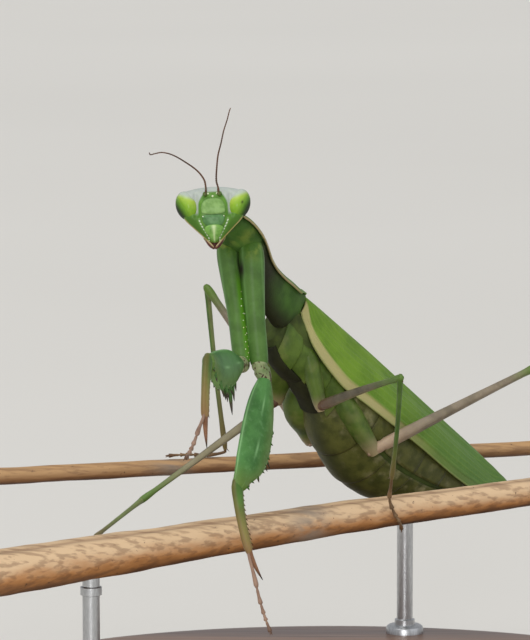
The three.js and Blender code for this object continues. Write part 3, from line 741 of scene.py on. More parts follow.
# each course of the head gives a size at a height u above its centre
face_half = course((-2.95, 0.5), (-2.6, 0.86), (-2, 1.47), (-1.2, 2.29), (-0.6, 2.88), (-0.2, 3.08),
                   (0.4, 3.04), (1.3, 3.05), (2.1, 3.4), (2.78, 3.5))
face_front = course((-2.95, 0.35), (-2.4, 0.6), (-1.6, 0.85), (-0.6, 1.05), (0.4, 1.2), (1.4, 1.15),
                    (2.1, 1.0), (2.78, 0.7))
face_rear = course((-2.95, 0.3), (-1.8, 0.7), (-0.6, 1.15), (0.8, 1.35), (2, 1.2), (2.78, 0.7))
face_middle = course((-2.95, 0.55), (-2, 0.45), (-0.9, 0.3), (1, 0), (2.78, -0.3))
green_edge = course((-0.4, 1.46), (0.6, 1.46), (1.3, 1.38), (1.8, 1.12), (2.2, 0.78), (2.4, 0.3))
cheek_line = course((-2.4, 0.45), (-2, 0.66), (-0.69, 1.32), (0, 1.42))


def head_half(u):
    """Half the head's width at u up: its crown is an arch, and its foot is rounded."""
    crown = CROWN_REACH * sqrt(max(HEAD_TOP - u, 0.0) / CROWN_FALL)
    low = max((CHIN_ROUND - u) / (CHIN_ROUND - HEAD_FOOT), 0.0)
    return min(face_half(u) * sqrt(max(1 - low * low, 0.0)), crown)


def closing(u):
    """How the head's depth closes at its crown and its foot: 1 between, 0 at both ends."""
    over = max((u - CROWN_FROM) / (HEAD_TOP - CROWN_FROM), (CHIN_FROM - u) / (CHIN_FROM - HEAD_FOOT), 0.0)
    return sqrt(max(1 - over * over, 0.0))


def face_height(x, u):
    """How far forward the smooth face stands at x to the left and u up."""
    share = max(1 - min(abs(x) / max(head_half(u), 0.01), 1.0) ** FACE_FLATNESS, 0.0)
    return face_middle(u) + face_front(u) * closing(u) * share ** (1 / FACE_FLATNESS)


def relief(x, u):
    """The face's small shapes: feeler sockets, cheek grooves, crown furrows and troughs by the eyes."""
    off = sqrt((abs(x) - SOCKET[0]) ** 2 + (u - SOCKET[1]) ** 2)
    socket = 0.07 * hump(off, 0.24, 0.07) - 0.1 * hump(off, 0, 0.16)
    cheek = -0.08 * hump(abs(x), cheek_line(u), 0.06) * step(0.0, -0.4, u)
    trough = -0.3 * hump(abs(x), 1.76, 0.25) * step(-0.6, 0.1, u) * step(2.5, 1.9, u)
    furrow = -0.06 * hump(abs(x), green_edge(u), 0.07) * step(0.2, 0.6, u) * step(2.5, 2.3, u)
    return socket + cheek + trough + furrow


def make_head(finish):
    """The head capsule, on which the eyes and the plates of the face sit."""

    def capsule(p):
        u = mix(HEAD_FOOT, HEAD_TOP, (1 + p.z) / 2)
        around = atan2(p.y, p.x)
        c, s = cos(around), sin(around)
        x = head_half(u) * power(c, 2 / FACE_FLATNESS)
        z = (face_front(u) if s > 0 else face_rear(u)) * closing(u) * power(s, 2 / FACE_FLATNESS)
        return Vector((x, u, face_middle(u) + z + relief(x, u) * step(0.1, 0.5, s)))

    def on_face(rule, back=0.0):
        """A mark on the front of the head, and on its back as far as back."""

        def value(p):
            q = capsule(p)
            return rule(abs(q.x), q.y) * step(back, back + 0.35, p.y)

        return value

    # where the painted sky sheen lies: the top of the head and its sides beside the eyes
    def crown(x, u):
        edge = green_edge(u)
        low = 0.55 * max(x - 1.7, 0.0)
        return max(step(edge, edge + 0.14, x) * step(low - 0.2, low + 0.4, u), step(2.2, 2.42, u))

    def seam(x, u):
        groove = hump(x, cheek_line(u), 0.06) * step(0.0, -0.4, u)
        return groove + 0.5 * hump(x, green_edge(u), 0.06) * step(0.0, 0.5, u) * step(2.3, 2.1, u)

    def cheek(x, u):
        return step(0.05, 0.5, x - cheek_line(u)) * step(0.3, -0.5, u)

    def bead(x, u):
        beads = 0.5 + 0.5 * cos(u * 2 * pi / BEAD_APART)
        return hump(x, cheek_line(u) + 0.1, 0.055) * beads * step(-0.3, -0.5, u)

    def rim(x, u):
        return step(0.24, 0.06, head_half(u) - x) * step(-0.2, -0.6, u)

    marks = {rule.__name__: on_face(rule) for rule in (seam, cheek, bead, rim)}
    head = ball("head_capsule", 192, 150, capsule, {"crown": on_face(crown, -0.7), **marks})
    return fit(settle(head, finish, HEAD), "green_cuticle", "head")


def make_eye(side, finish):
    """A compound eye: a leaning ovoid that fills the upper corner of the head."""

    def lens(p):
        full = 1 - EYE_TAPER * p.z
        x, y, z = p.x * EYE_HALF[0] * full, p.z * EYE_HALF[1], p.y * EYE_HALF[2] * full
        lean = 0.16 * y - 0.22 * p.y
        return Vector((side * (EYE_MIDDLE[0] + lean + x), EYE_MIDDLE[1] + y, EYE_MIDDLE[2] + z))

    marks = {
        "up": lambda p: p.z,
        "out": lambda p: p.x,
        # where the painted sky sheen lies: the upper, inner part of the eye
        "orbit_sheen": lambda p: step(0.42, 0.78, p.z * 0.95 - p.x * 0.25),
        "dot": lambda p: hump((p - PUPIL).length, 0, 0.1) * (side > 0),
    }
    hand = side_name(side)
    eye = ball(f"compound_eye_{hand}", 72, 54, lens, marks)
    return fit(settle(eye, finish, HEAD), "eye_cuticle", f"eye_{hand}")


def face_plate(name, centre, outline, finish, lift, dome, thick=0.1, marks=None, cad=()):
    """A plate that lies on the face: outline(angle) is its edge, left and up from its centre."""

    def place(r, angle):
        x, y = outline(angle)
        u = centre + y * r
        return Vector((x * r, u, face_height(x * r, u) + lift + dome * (1 - r**4)))

    return fit(settle(disc(name, 64, 14, place, thick, marks), finish, HEAD), "green_cuticle", *cad)


def make_face(finishes, bead):
    """The brow shield, the clypeus, the labrum that hangs over the mouth, and two white tubercles."""

    def shield(angle):
        c, s = cos(angle), sin(angle)
        return 1.24 * power(c, 0.72), (1.12 if s > 0 else 0.48) * power(s, 0.95 if s > 0 else 0.5)

    def clypeus(angle):
        c, s = cos(angle), sin(angle)
        return (1.1 + 0.35 * s) * power(c, 0.5), 0.6 * power(s, 0.5 if s > 0 else 0.8)

    def labrum(angle):
        c, s = cos(angle), sin(angle)
        if s > 0:
            return 0.98 * power(c, 0.9), 0.42 * power(s, 1.1)
        return 0.98 * power(c, 1.7), 1.42 * power(s, 1.7)

    face_plate("brow_shield", 0.56, shield, finishes["brow"], lift=0.03, dome=0.06)
    face_plate("clypeus", -0.61, clypeus, finishes["clypeus"], lift=0.04, dome=0.1)
    # the painted highlight down the labrum's middle
    ridge = {"ridge": lambda r, a: hump(cos(a) * r, 0, 0.2) * step(1.0, 0.75, r)}
    face_plate("labrum", -1.45, labrum, finishes["labrum"], 0.12, 0.14, 0.12, ridge, ("labrum",))
    out, up = TUBERCLE
    spots = [Vector((side * out, up, face_height(out, up) + 0.06)) for side in (1, -1)]
    beads = [set_bead(bead, spot, 0.085, HEAD) for spot in spots]
    fit(joined(*beads, name="face_tubercles"), "green_cuticle")


def threaded(name, path, wide, deep=None, up=None, **more):
    """A limb grown straight to the length of a path, and then bent along it."""
    path = [Vector(p) for p in path]
    length = sum((b - a).length for a, b in zip(path, path[1:]))
    return follow(limb(name, length, wide, deep, **more), path, up or UP)


JAW = ((0.8, -2.0, 0.1), (0.76, -2.5, 0.4), (0.64, -2.86, 0.6), (0.38, -3.22, 0.76), (0.03, -3.52, 0.84))
LABIUM = ((0, -1.6, -0.35), (0, -2.5, 0.05), (0, -3.38, 0.52))
PALPS = {  # how many joints a palp has, and its path on the left
    "maxillary": (5, ((0.75, -1.8, -0.3), (1.05, -2.35, -0.45), (0.85, -2.8, -0.2), (0.5, -3.05, 0.15))),
    "labial": (3, ((0.3, -2.3, -0.3), (0.42, -2.8, -0.2), (0.25, -3.1, 0.1))),
}
SIMPLE_EYES = ((0.46, 2.14), (-0.46, 2.14), (0.0, 1.88))


def make_mouth(finishes):
    """Mandibles that close the mouth in a V, the labium behind them, and two pairs of palps."""
    jaws = [
        threaded(
            f"mandible_{side_name(side)}", [(side * x, y, z) for x, y, z in JAW],
            wide=course((0, 0.12), (0.3, 0.2), (0.75, 0.2), (1, 0.12)),
            deep=course((0, 0.16), (0.3, 0.26), (0.75, 0.27), (1, 0.13)),
        )
        for side in (1, -1)
    ]
    under = threaded(
        "labium", LABIUM,
        wide=course((0, 0.4), (0.3, 0.7), (0.75, 0.5), (1, 0.2)),
        deep=course((0, 0.25), (0.5, 0.36), (1, 0.16)),
    )
    for jaw in jaws:
        mark(jaw, lip=lambda p: hump(abs(p.x) * 1.05 - p.y - 3.4, 0, 0.09) * step(0.04, 0.22, abs(p.x)))
    fit(settle(joined(*jaws, under, name="jaws"), finishes["jaw"], HEAD), "mouth_cuticle", "mouthparts")
    for side in (1, -1):
        for name, (joints, spots) in PALPS.items():
            palp = threaded(
                f"{name}_palp_{side_name(side)}", [(side * x, y, z) for x, y, z in spots],
                wide=lambda t, n=joints: 0.1 + 0.03 * abs(sin(pi * n * t)) - 0.04 * t,
                sides=10, rings=joints * 8, even=True,
            )
            fit(settle(palp, finishes["palp"], HEAD), "mouth_cuticle")


def make_simple_eyes(finish):
    """Three small simple eyes between the feelers."""
    spots = [Vector((x, u, face_height(x, u))) for x, u in SIMPLE_EYES]
    beads = [
        ball("simple_eye", 16, 10, lambda p, s=spot: s + Vector((p.x * 0.11, p.y * 0.11, p.z * 0.1)))
        for spot in spots
    ]
    fit(settle(joined(*beads, name="simple_eyes"), finish, HEAD), "eye_cuticle")


FEELER_RINGS = 44


def make_feeler(side, finishes):
    """A feeler: a stout first joint, a short second one and a long ringed thread."""
    hand = side_name(side)
    node = f"antenna_{hand}"
    root = HEAD @ Vector((side * SOCKET[0], SOCKET[1], face_height(*SOCKET)))
    path = [root, *midline(node, root, 12)]
    path[0] = root - FACE * 0.15

    def thread(t):
        ringed = 1 + 0.1 * cos(2 * pi * FEELER_RINGS * t)
        base = 0.09 * step(0.085, 0.06, t) + 0.035 * hump(t, 0.1, 0.012)
        return (mix(0.1, 0.055, t) + base) * ringed

    feeler = threaded(f"feeler_{hand}", path, thread, up=FACE, sides=12, rings=FEELER_RINGS * 5, even=True)
    return fit(settle(feeler, finishes["feeler"]), "antenna_cuticle", node)


# ---- neck and prothorax -------------------------------------------------------------------------
# the shield's half width, its rim's depth below the axis, its back's height over the rim, and the
# breast's depth, each at a share of the prothorax's length
SHIELD_HALF = course((0, 1.5), (0.12, 2.5), (0.18, 2.8), (0.25, 3.0), (0.32, 2.75), (0.4, 2.25), (0.5, 1.98),
                     (0.6, 1.7), (0.7, 1.65), (0.8, 1.65), (0.9, 1.8), (1, 1.5))
SHIELD_EDGE = course((0, 0.45), (0.12, 0.5), (0.18, 0.65), (0.25, 0.95), (0.32, 1.05), (0.4, 0.95),
                     (0.5, 1.4), (0.7, 1.4), (0.8, 1.2), (0.9, 1.15), (1, 0.6))
SHIELD_CREST = course((0, 0.5), (0.25, 0.7), (0.6, 0.62), (0.9, 0.7), (1, 0.5))
BREAST_DEEP = course((0, 0.6), (0.08, 1.3), (0.25, 1.8), (0.5, 2.3), (0.75, 3.85), (0.9, 4.2), (1, 3.7))
SHIELD_SWEEP = 97  # degrees round from the crest to either rim
SHIELD_THICK = 0.2
REAR_ROUND = 1.9  # how far the shield's rear corners are drawn forward
RIM_TEETH = 26
SULCUS = 0.27  # where the shield's cross groove is
NECK_FOLDS = 9  # rings of folded skin


def make_neck(finish):
    start = HEAD @ Vector((0, 0.2, -0.4))
    end = FORE @ Vector((0, 1.1, 2.0))
    neck = threaded(
        "neck_skin", [start, mix(start, end, 0.5), end],
        wide=course((0, 1.0), (0.35, 0.95), (1, 1.2)),
        carve=lambda t, a: 0.05 * cos(2 * pi * NECK_FOLDS * t) + 0.03 * cos(5 * a),
        up=head_up, sides=28, rings=54, even=True,
    )
    return fit(settle(neck, finish), "green_cuticle", "neck")


def make_pronotum(finishes):
    """The long shield over the prothorax, keeled and rimmed, and the breast plates under it."""

    def roof(u, v):
        side = 2 * u - 1
        angle = side * radians(SHIELD_SWEEP)
        x = SHIELD_HALF(v) * sin(angle)
        y = SHIELD_EDGE(v) - SHIELD_CREST(v) * cos(angle)
        flange = step(0.84, 1.0, abs(side))
        tooth = 0.05 * flange * max(0.0, cos(2 * pi * RIM_TEETH * v)) * step(0.5, 0.1, v)
        groove = 0.14 * hump(v, SULCUS, 0.012) * step(1.0, 0.6, abs(side))
        keel = 0.1 * hump(x, 0, 0.14) * step(SULCUS, 0.34, v)
        furrow = 0.06 * hump(x, 0, 0.12) * step(SULCUS, 0.2, v)
        bulge = 0.4 * step(0.04, 0.0, v) - 0.3 * step(0.97, 1.0, v)
        z = v * PROTHORAX_LENGTH - (1 - side * side) * bulge - REAR_ROUND * side**4 * step(0.88, 1.0, v)
        return Vector((x + copysign(tooth, side), y + groove - keel + furrow, z))

    marks = {
        "rim": lambda u, v: step(0.8, 0.92, abs(2 * u - 1)) * step(1.0, 0.78, v),
        "keel": lambda u, v: hump(2 * u - 1, 0, 0.05),
    }
    shield = shell("pronotum", 60, 220, roof, SHIELD_THICK, marks)
    fit(settle(shield, finishes["pronotum"], FORE), "green_cuticle", "prothorax")

    breast = limb(
        "breast_plates", PROTHORAX_LENGTH - 0.4,
        wide=lambda t: SHIELD_HALF(t) * 0.93 - 0.1,
        deep=BREAST_DEEP,
        back=lambda t: SHIELD_CREST(t) * 0.7 / BREAST_DEEP(t),
        bow=lambda t: (0.0, SHIELD_EDGE(t) + 0.02),
        carve=lambda t, a: -0.06 * hump(a, pi / 2, 0.09) - 0.05 * hump(t, SULCUS + 0.02, 0.015),
        sides=40, rings=70,
    )
    spot = FORE @ Matrix.Translation((0, 0, 0.3))
    return fit(settle(breast, finishes["breast"], spot), "green_cuticle")


# ---- spines and beads ---------------------------------------------------------------------------
def thorn_pattern():
    """One spine of length 1 that is about 1 in radius near its root."""
    return limb(
        "thorn_pattern", 1.0,
        wide=course((0, 1.25), (0.12, 0.95), (0.6, 0.6), (0.85, 0.32), (1, 0.06)),
        sides=8, rings=8,
    )


def set_thorn(pattern, finish, root, way, length, radius):
    """A copy of the spine, rooted just under the surface at root."""
    thorn = copied(pattern, "thorn")
    spot = axes(root - way.normalized() * radius, way, Vector((0.3, 0.2, 1)))
    size = Matrix.Diagonal((radius, radius, length, 1))
    return settle(thorn, finish, spot @ size)


def set_bead(pattern, place, radius, spot):
    bead = copied(pattern, "bead")
    return settle(bead, pattern.data.materials[0], spot @ Matrix.Translation(place) @ Matrix.Scale(radius, 4))


# ---- fore legs ----------------------------------------------------------------------------------
FORE_LEGS = {  # the root in the fore body's axes; then each segment's azimuth, elevation and length
    "left": {"root": (1.7, 2.4, 5.9), "coxa": (-73.5, -76, 11.85), "trochanter": (-28, -64, 1.4),
             "femur": (-110.5, -52, 12.7), "tibia": (-56, -72, 6.9), "tarsus": (-48, -66.5, 9)},
    "right": {"root": (-1.15, 2.4, 5.9), "coxa": (-70.5, -68, 12.3), "trochanter": (-104, 10, 1.4),
              "femur": (-104, 10, 12.7), "tibia": (-93, -46, 6.9), "tarsus": (-102, -21, 9)},
}
COXA_SIZE = {"left": (0.97, 1.0), "right": (0.9, 1.15)}  # shares of the two half sizes below
COXA_BOW = 0.14  # how far the coxa bends inwards at its middle
SPLAY = {"left": (0.5, 3.8), "right": (0.0, 0.0)}  # how far the outer and the long spines lean aside
COXA_HALF = course((0, 0.8), (0.08, 1.25), (0.2, 1.35), (0.6, 1.06), (0.88, 1.0), (0.95, 0.9), (1, 0.5))
COXA_DEEP = course((0, 0.7), (0.08, 1.15), (0.25, 1.25), (0.6, 1.0), (0.9, 0.88), (1, 0.45))
FEMUR_HALF = course((0, 0.5), (0.1, 0.75), (0.4, 0.85), (0.75, 0.75), (0.9, 0.62), (0.96, 0.6), (1, 0.35))
FEMUR_DEEP = course((0, 0.45), (0.08, 0.95), (0.18, 1.42), (0.29, 1.74), (0.45, 1.98), (0.6, 2.02),
                    (0.73, 1.86), (0.8, 1.6), (0.9, 1.06), (0.96, 0.84), (1, 0.55))
femur_middle = course((0, 0), (0.29, 0.44), (0.6, 0.86), (0.78, 0.78), (0.9, 0.34), (1, 0.1))  # bellywards
TIBIA_DEEP = course((0, 0.4), (0.1, 0.66), (0.3, 0.58), (0.6, 0.5), (0.9, 0.46), (1, 0.3))
CLAW = 3.6  # the length of the tibia's end claw
COXA_BEADS = ((13, 0.36, 0.94, 22), (10, 0.44, 0.92, 44))  # a row's count, its reach and its angle round
BEAD_SUNK = 0.99  # where a bead's middle is, as a share of the way out to the surface
FOOT_RADIUS = 0.27
FOOT_CLAW = 0.5
FORE_FOOT = (0.46, 0.2, 0.12, 0.08, 0.14)  # the shares of a foot's length that its five joints have
WALKING_FOOT = (0.42, 0.18, 0.13, 0.09, 0.18)


def fore_joints(pose):
    """A fore leg's joints, each segment's way, and which way its femur and tibia have their bellies."""
    at = {"root": FORE @ Vector(pose["root"])}
    way = {name: heading(*pose[name][:2]) for name in pose if name != "root"}
    ends = {"coxa": "elbow", "trochanter": "start", "femur": "knee", "tibia": "ankle"}
    spot = at["root"]
    for segment, end in ends.items():
        spot = at[end] = spot + way[segment] * pose[segment][2]
    belly = across(way["tibia"], way["femur"])
    inside = across(-way["femur"], way["tibia"])
    at["heel"] = at["ankle"] - inside * 0.3
    at["toe"] = at["heel"] + way["tarsus"] * pose["tarsus"][2]
    return at, way, belly, inside


def make_fore_coxa(name, side, at, way, finishes, bead):
    """The long fore hip: three-edged, beaded down its inner face, dark-spotted inside its root."""
    origin = at["root"] - way * 1.5
    length = (at["elbow"] - origin).length + 0.5
    spot = axes(origin, way, heading(-90, 0))
    inward = -side
    wide, deep = COXA_SIZE[side_name(side)]

    def bow(t):
        return inward * COXA_BOW * sin(pi * t)

    def carve(t, a):
        edges = hump(cos(a - 0.35), 1, 0.12) + hump(cos(a - pi + 0.35), 1, 0.12)
        face = 0.04 * cos(3 * (a - pi / 2))
        return (0.05 * edges + face) * step(0.06, 0.2, t) * step(1.0, 0.86, t)

    coxa = limb(f"{name}_coxa", length, lambda t: COXA_HALF(t) * wide, lambda t: COXA_DEEP(t) * deep,
                lambda t: (bow(t), 0.0), carve, sides=40, rings=72)

    def inner(p):
        """The inner face; on the left leg, only the part of it that lies behind."""
        t = p.z / length
        behind = 1.0 if side < 0 else step(0.3, -0.3, p.y)
        return step(0.35, 0.75, p.x * inward / wide) * behind * step(0.25, 0.4, t) * step(0.98, 0.9, t)

    mark(
        coxa,
        collar=lambda p: step(0.22, 0.08, p.z / length),
        edge=lambda p: hump(abs(p.x), wide, 0.1) * step(-0.4, 0.2, p.y),
        inner=inner,
        spot=lambda p: step(0.9, 1.1, p.x * inward / wide) * hump(p.z / length, 0.24, 0.07),
    )
    settle(coxa, finishes["coxa"], spot)
    beads = []
    for count, low, high, angle in COXA_BEADS:
        for i in range(count):
            t = mix(low, high, i / (count - 1))
            a = radians(angle + 5 * (i % 3)) * inward
            out, ahead = COXA_HALF(t) * wide * cos(a), COXA_DEEP(t) * deep * sin(a)
            place = Vector((inward * out * BEAD_SUNK + bow(t), ahead * BEAD_SUNK, t * length))
            beads.append(set_bead(bead, place, 0.05 + 0.02 * ((i * 7) % 3) / 2, spot))
    fit(joined(*beads, name=f"{name}_coxa_beads"), "fore_leg_cuticle")
    return fit(coxa, "fore_leg_cuticle", f"{name}_coxa")


def make_trochanter(name, at, way, belly, finishes):
    """The short joint between hip and femur, waisted and folded."""
    trochanter = limb(
        f"{name}_trochanter", (at["start"] - at["elbow"]).length + 1.5,
        wide=course((0, 0.5), (0.25, 0.8), (0.7, 0.76), (1, 0.5)),
        deep=course((0, 0.5), (0.25, 0.84), (0.7, 0.82), (1, 0.5)),
        carve=lambda t, a: -0.12 * hump(t, 0.42, 0.05) + 0.04 * hump(t, 0.55, 0.06),
        sides=36, rings=36,
    )
    spot = axes(at["elbow"] - way * 0.85, way, belly)
    fit(settle(trochanter, finishes["trochanter"], spot), "fore_leg_cuticle", f"{name}_trochanter")


def make_fore_femur(name, side, at, way, belly, finishes, thorn):
    """The grasping femur: a flat spindle, sharp-backed, with its spines in a double row below and
    four long ones between their roots."""
    origin = at["start"] - way * 0.3
    length = (at["knee"] - origin).length + 0.55
    spot = axes(origin, way, belly)

    def carve(t, a):
        c, s = cos(a), sin(a)
        body = step(0.05, 0.16, t) * step(0.98, 0.86, t)
        back_edge = 0.04 * hump(s, -1, 0.03)
        face_ridge = 0.05 * hump(s, -0.3 + 0.3 * t, 0.09)
        gutter = -0.06 * hump(s, 1, 0.02)
        rails = 0.04 * hump(s, 0.93, 0.04)
        lobe = 0.1 * hump(t, 0.955, 0.03) * abs(c)
        return (back_edge + face_ridge + gutter + rails) * body + lobe

    femur = limb(f"{name}_femur", length, FEMUR_HALF, FEMUR_DEEP, lambda t: (0.0, femur_middle(t)), carve,
                 sides=60, rings=96)

    def pale(p):
        """Paler along its back, its two belly rails and the ridge on its face."""
        t = min(max(p.z / length, 0.0), 1.0)
        s = (p.y - femur_middle(t)) / FEMUR_DEEP(t)
        rails = max(0.8 * hump(s, -1, 0.03), hump(s, 0.96, 0.04), 0.8 * hump(s, -0.3 + 0.3 * t, 0.02))
        return rails * step(0.04, 0.12, t)

    mark(femur, edge=pale)
    settle(femur, finishes["femur"], spot)
    outer, long_ones = SPLAY[side_name(side)]
    rows = (  # places along the femur, place across it, lengths, lean ahead and lean aside
        ((0.5, 0.63, 0.77, 0.88), 0.5, (1.1, 1.5, 1.7, 1.0), 0.2, outer),
        ([mix(0.45, 0.88, i / 7) for i in range(8)], -0.46, (0.3, 0.45), 0.3, 0.0),
        ((0.22, 0.31, 0.42, 0.52), 0.06, (1.4, 2.2, 3.4, 1.8), 0.12, long_ones),
        ((0.56, 0.61, 0.66), 0.2, (1.1, 1.6, 1.3), 0.3 + outer, 0.0),
        ((0.955,), 0.8, (0.45,), 0.9, 0.0),
        ((0.955,), -0.8, (0.45,), 0.9, 0.0),
    )
    thorns = []
    for places, sideways, sizes, lean, aslant in rows:
        for i, t in enumerate(places):
            aside = sideways * FEMUR_HALF(t) * side
            root = spot @ Vector((aside, femur_middle(t) + FEMUR_DEEP(t) * 0.88, t * length))
            ahead = spot.to_3x3() @ Vector((aside * 0.55 + aslant * side, 1, lean))
            long = sizes[i % len(sizes)]
            thorns.append(set_thorn(thorn, finishes["green_thorn"], root, ahead, long, 0.11 + 0.06 * long))
    return fit(joined(femur, *thorns), "fore_leg_cuticle", f"{name}_femur")


def tibia_middle(t):
    """The tibia's middle, towards its inner side: it bows away from the femur."""
    return -0.08 - 0.32 * sin(pi * t)


def make_fore_tibia(name, side, at, way, inside, finishes, thorn):
    """The grasping tibia: finely toothed below, and ending in a long curved claw."""
    origin = at["knee"] - way * 0.6
    length = (at["ankle"] - origin).length + 0.25
    spot = axes(origin, way, inside)

    def carve(t, a):
        s = sin(a)
        edges = 0.08 * hump(s, -1, 0.05) + 0.06 * hump(s, 0.9, 0.05) - 0.05 * hump(s, 1, 0.02)
        return edges * step(0.1, 0.2, t)

    tibia = limb(f"{name}_tibia", length, course((0, 0.38), (0.1, 0.5), (0.6, 0.42), (0.93, 0.4), (1, 0.25)),
                 TIBIA_DEEP, lambda t: (0.0, tibia_middle(t)), carve, sides=36, rings=60)
    settle(tibia, finishes["tibia"], spot)
    thorns = []
    for aside, count in ((0.26, 9), (-0.26, 12)):
        for i in range(count):
            t = mix(0.22, 0.92, i / (count - 1))
            root = spot @ Vector((aside * side, tibia_middle(t) + TIBIA_DEEP(t) * 0.82, t * length))
            ahead = spot.to_3x3() @ Vector((aside * side * 0.5, 0.6, 0.9))
            thorns.append(set_thorn(thorn, finishes["brown_thorn"], root, ahead, 0.24 + 0.24 * t, 0.085))
    start = at["ankle"] - way * 0.3 - inside * 0.15
    lean = (way + inside * 0.36).normalized()
    curve = ((0, 0), (0.3, -0.1), (0.65, -0.1), (1, 0.06))
    claw = threaded(
        f"{name}_claw", [start + lean * CLAW * t + inside * out for t, out in curve],
        course((0, 0.36), (0.15, 0.3), (0.6, 0.19), (1, 0.03)), up=inside, sides=16, rings=28,
    )
    settle(claw, finishes["claw"])
    return fit(joined(tibia, *thorns, claw), "fore_tibia_cuticle", f"{name}_tibia")


def make_foot(name, path, shares, finish, slot, up, cad):
    """A foot of five joints along a path, each swelling to its far end, with two claws."""
    bounds = [0.0]
    for share in shares:
        bounds.append(bounds[-1] + share)

    def wide(t):
        k = max(i for i in range(len(shares)) if t >= bounds[i] - 1e-9)
        inside = min((t - bounds[k]) / shares[k], 1.0)
        swell = 0.38 * step(0.45, 0.93, inside) - 0.34 * step(0.93, 1.0, inside) * (k < 4)
        return FOOT_RADIUS * (0.62 + swell - 0.2 * step(0.3, 0.0, inside)) * mix(1.0, 0.85, t)

    foot = threaded(name, path, wide, up=up, sides=14, rings=90, even=True)
    settle(foot, finish)
    end, way = path[-1], (path[-1] - path[-2]).normalized()
    claws = []
    for side in (1, -1):
        aside = up.cross(way).normalized() * side
        spots = [end - way * 0.15, end + (way * 0.4 + aside * 0.35) * FOOT_CLAW,
                 end + (way * 0.8 + aside * 0.5 - up * 0.15) * FOOT_CLAW]
        half = course((0, 0.1), (0.5, 0.08), (1, 0.02))
        claw = threaded(f"{name}_claw", spots, half, up=up, sides=8, rings=8)
        claws.append(settle(mark(claw, run=lambda p: 1.0), finish))
    return fit(joined(foot, *claws), slot, cad)


def make_fore_leg(side, finishes, thorn, bead):
    hand = side_name(side)
    name = f"fore_{hand}"
    at, way, belly, inside = fore_joints(FORE_LEGS[hand])
    make_fore_coxa(name, side, at, way["coxa"], finishes, bead)
    make_trochanter(name, at, way["trochanter"], belly, finishes)
    make_fore_femur(name, side, at, way["femur"], belly, finishes, thorn)
    make_fore_tibia(name, side, at, way["tibia"], inside, finishes, thorn)
    sag = across(at["knee"] - at["ankle"], way["tarsus"])
    path = [at["heel"] - way["tibia"] * 0.2]
    for t, drop in ((0.1, 0.0), (0.3, 0.03), (0.55, 0.14), (0.78, 0.1), (0.95, -0.05)):
        path.append(mix(at["heel"], at["toe"], t) - sag * drop)
    make_foot(f"{name}_foot", path, FORE_FOOT, finishes["fore_foot"], "fore_tarsus_cuticle", sag,
              f"{name}_tarsus")


# ---- hind body ----------------------------------------------------------------------------------
BODY_START = -0.7
ABDOMEN_END = 39.6
HIND_HALF = course((-0.8, 1.8), (1.5, 2.5), (5, 3.1), (9, 3.6), (14, 4.5), (20, 4.6), (27, 4.2), (34, 3),
                   (38.2, 1.6), (39.6, 0.7))
HIND_KEEL = course((-0.8, 6.8), (1.5, 7.9), (5, 8.2), (9, 9), (13, 11.2), (19, 12.7), (26, 11.2), (33, 7.6),
                   (38.2, 4.1), (39.6, 3))
HIND_BACK = course((-0.8, 0.9), (1, 1.8), (4, 2.8), (9, 3.1), (16, 2.8), (39.6, 2.6))
MIDDLE_SHARE = 0.42  # where the body is widest, from its back down to its keel
SKIN_DEPTH = 0.16  # of the soft body under the plates' own surface
PLATE_THICK = 0.14
PLATE_RISE = 0.12  # a plate's rear edge stands twice this over its front edge
SEGMENTS = (9.6, 14.0, 18.4, 22.8, 27.2, 31.0, 34.4, 37.2, 39.5)
CERCUS = ((1.2, 3, -1.2), (1.4, 2.8, 1.2))  # its root and its tip, the last number from the body's end
CERCUS_RINGS = 8


def body_middle(s):
    return mix(HIND_BACK(s), HIND_KEEL(s), MIDDLE_SHARE)


def body_ring(s, angle, swell=0.0):
    """A place round the hind body: angle 0 is its left flank, 90 its keel and -90 its back."""
    c, d = cos(angle), sin(angle)
    centre = body_middle(s)
    deep = HIND_KEEL(s) - centre if d > 0 else centre - HIND_BACK(s)
    return Vector(((HIND_HALF(s) + swell) * c, centre + (deep + swell) * d, s))


def make_core(finish):
    """The soft body between and under the plates."""
    length = ABDOMEN_END - BODY_START

    def at(t):
        return BODY_START + t * length

    def belly_deep(t):
        return HIND_KEEL(at(t)) - body_middle(at(t))

    core = limb(
        "body_core", length,
        wide=lambda t: HIND_HALF(at(t)) - SKIN_DEPTH,
        deep=lambda t: belly_deep(t) - SKIN_DEPTH,
        bow=lambda t: (0.0, body_middle(at(t))),
        back=lambda t: (body_middle(at(t)) - HIND_BACK(at(t))) / belly_deep(t),
        sides=48, rings=90,
    )
    spot = REAR @ Matrix.Translation((0, 0, BODY_START))
    return fit(settle(core, finish, spot), "abdomen_cuticle", "abdomen", "mesothorax", "metathorax")


def body_plate(name, start, end, low, high, finish, slot, dome, nets=(26, 22), overlap=0.0, skew=0.0,
               tuck=0.0):
    """A shell plate on the hind body between two places along it and two angles round it. Its rear
    edge stands over the next plate, and tuck sinks the edge that lies towards the back."""

    def place(u, v):
        angle = radians(mix(low, high, u))
        s = mix(start, end + overlap, v) + skew * (u - 0.5)
        rise = PLATE_RISE * step(0.0, 0.5, v) + PLATE_RISE * step(0.55, 1.0, v)
        crown = dome * (1 - (2 * u - 1) ** 4) * (1 - (2 * v - 1) ** 4)
        rise -= tuck * step(0.3, 0.0, u if low < 90 else 1 - u)
        return body_ring(min(max(s, BODY_START), ABDOMEN_END), angle, rise - 0.1 + crown)

    return fit(settle(shell(name, *nets, place, PLATE_THICK), finish, REAR), slot)


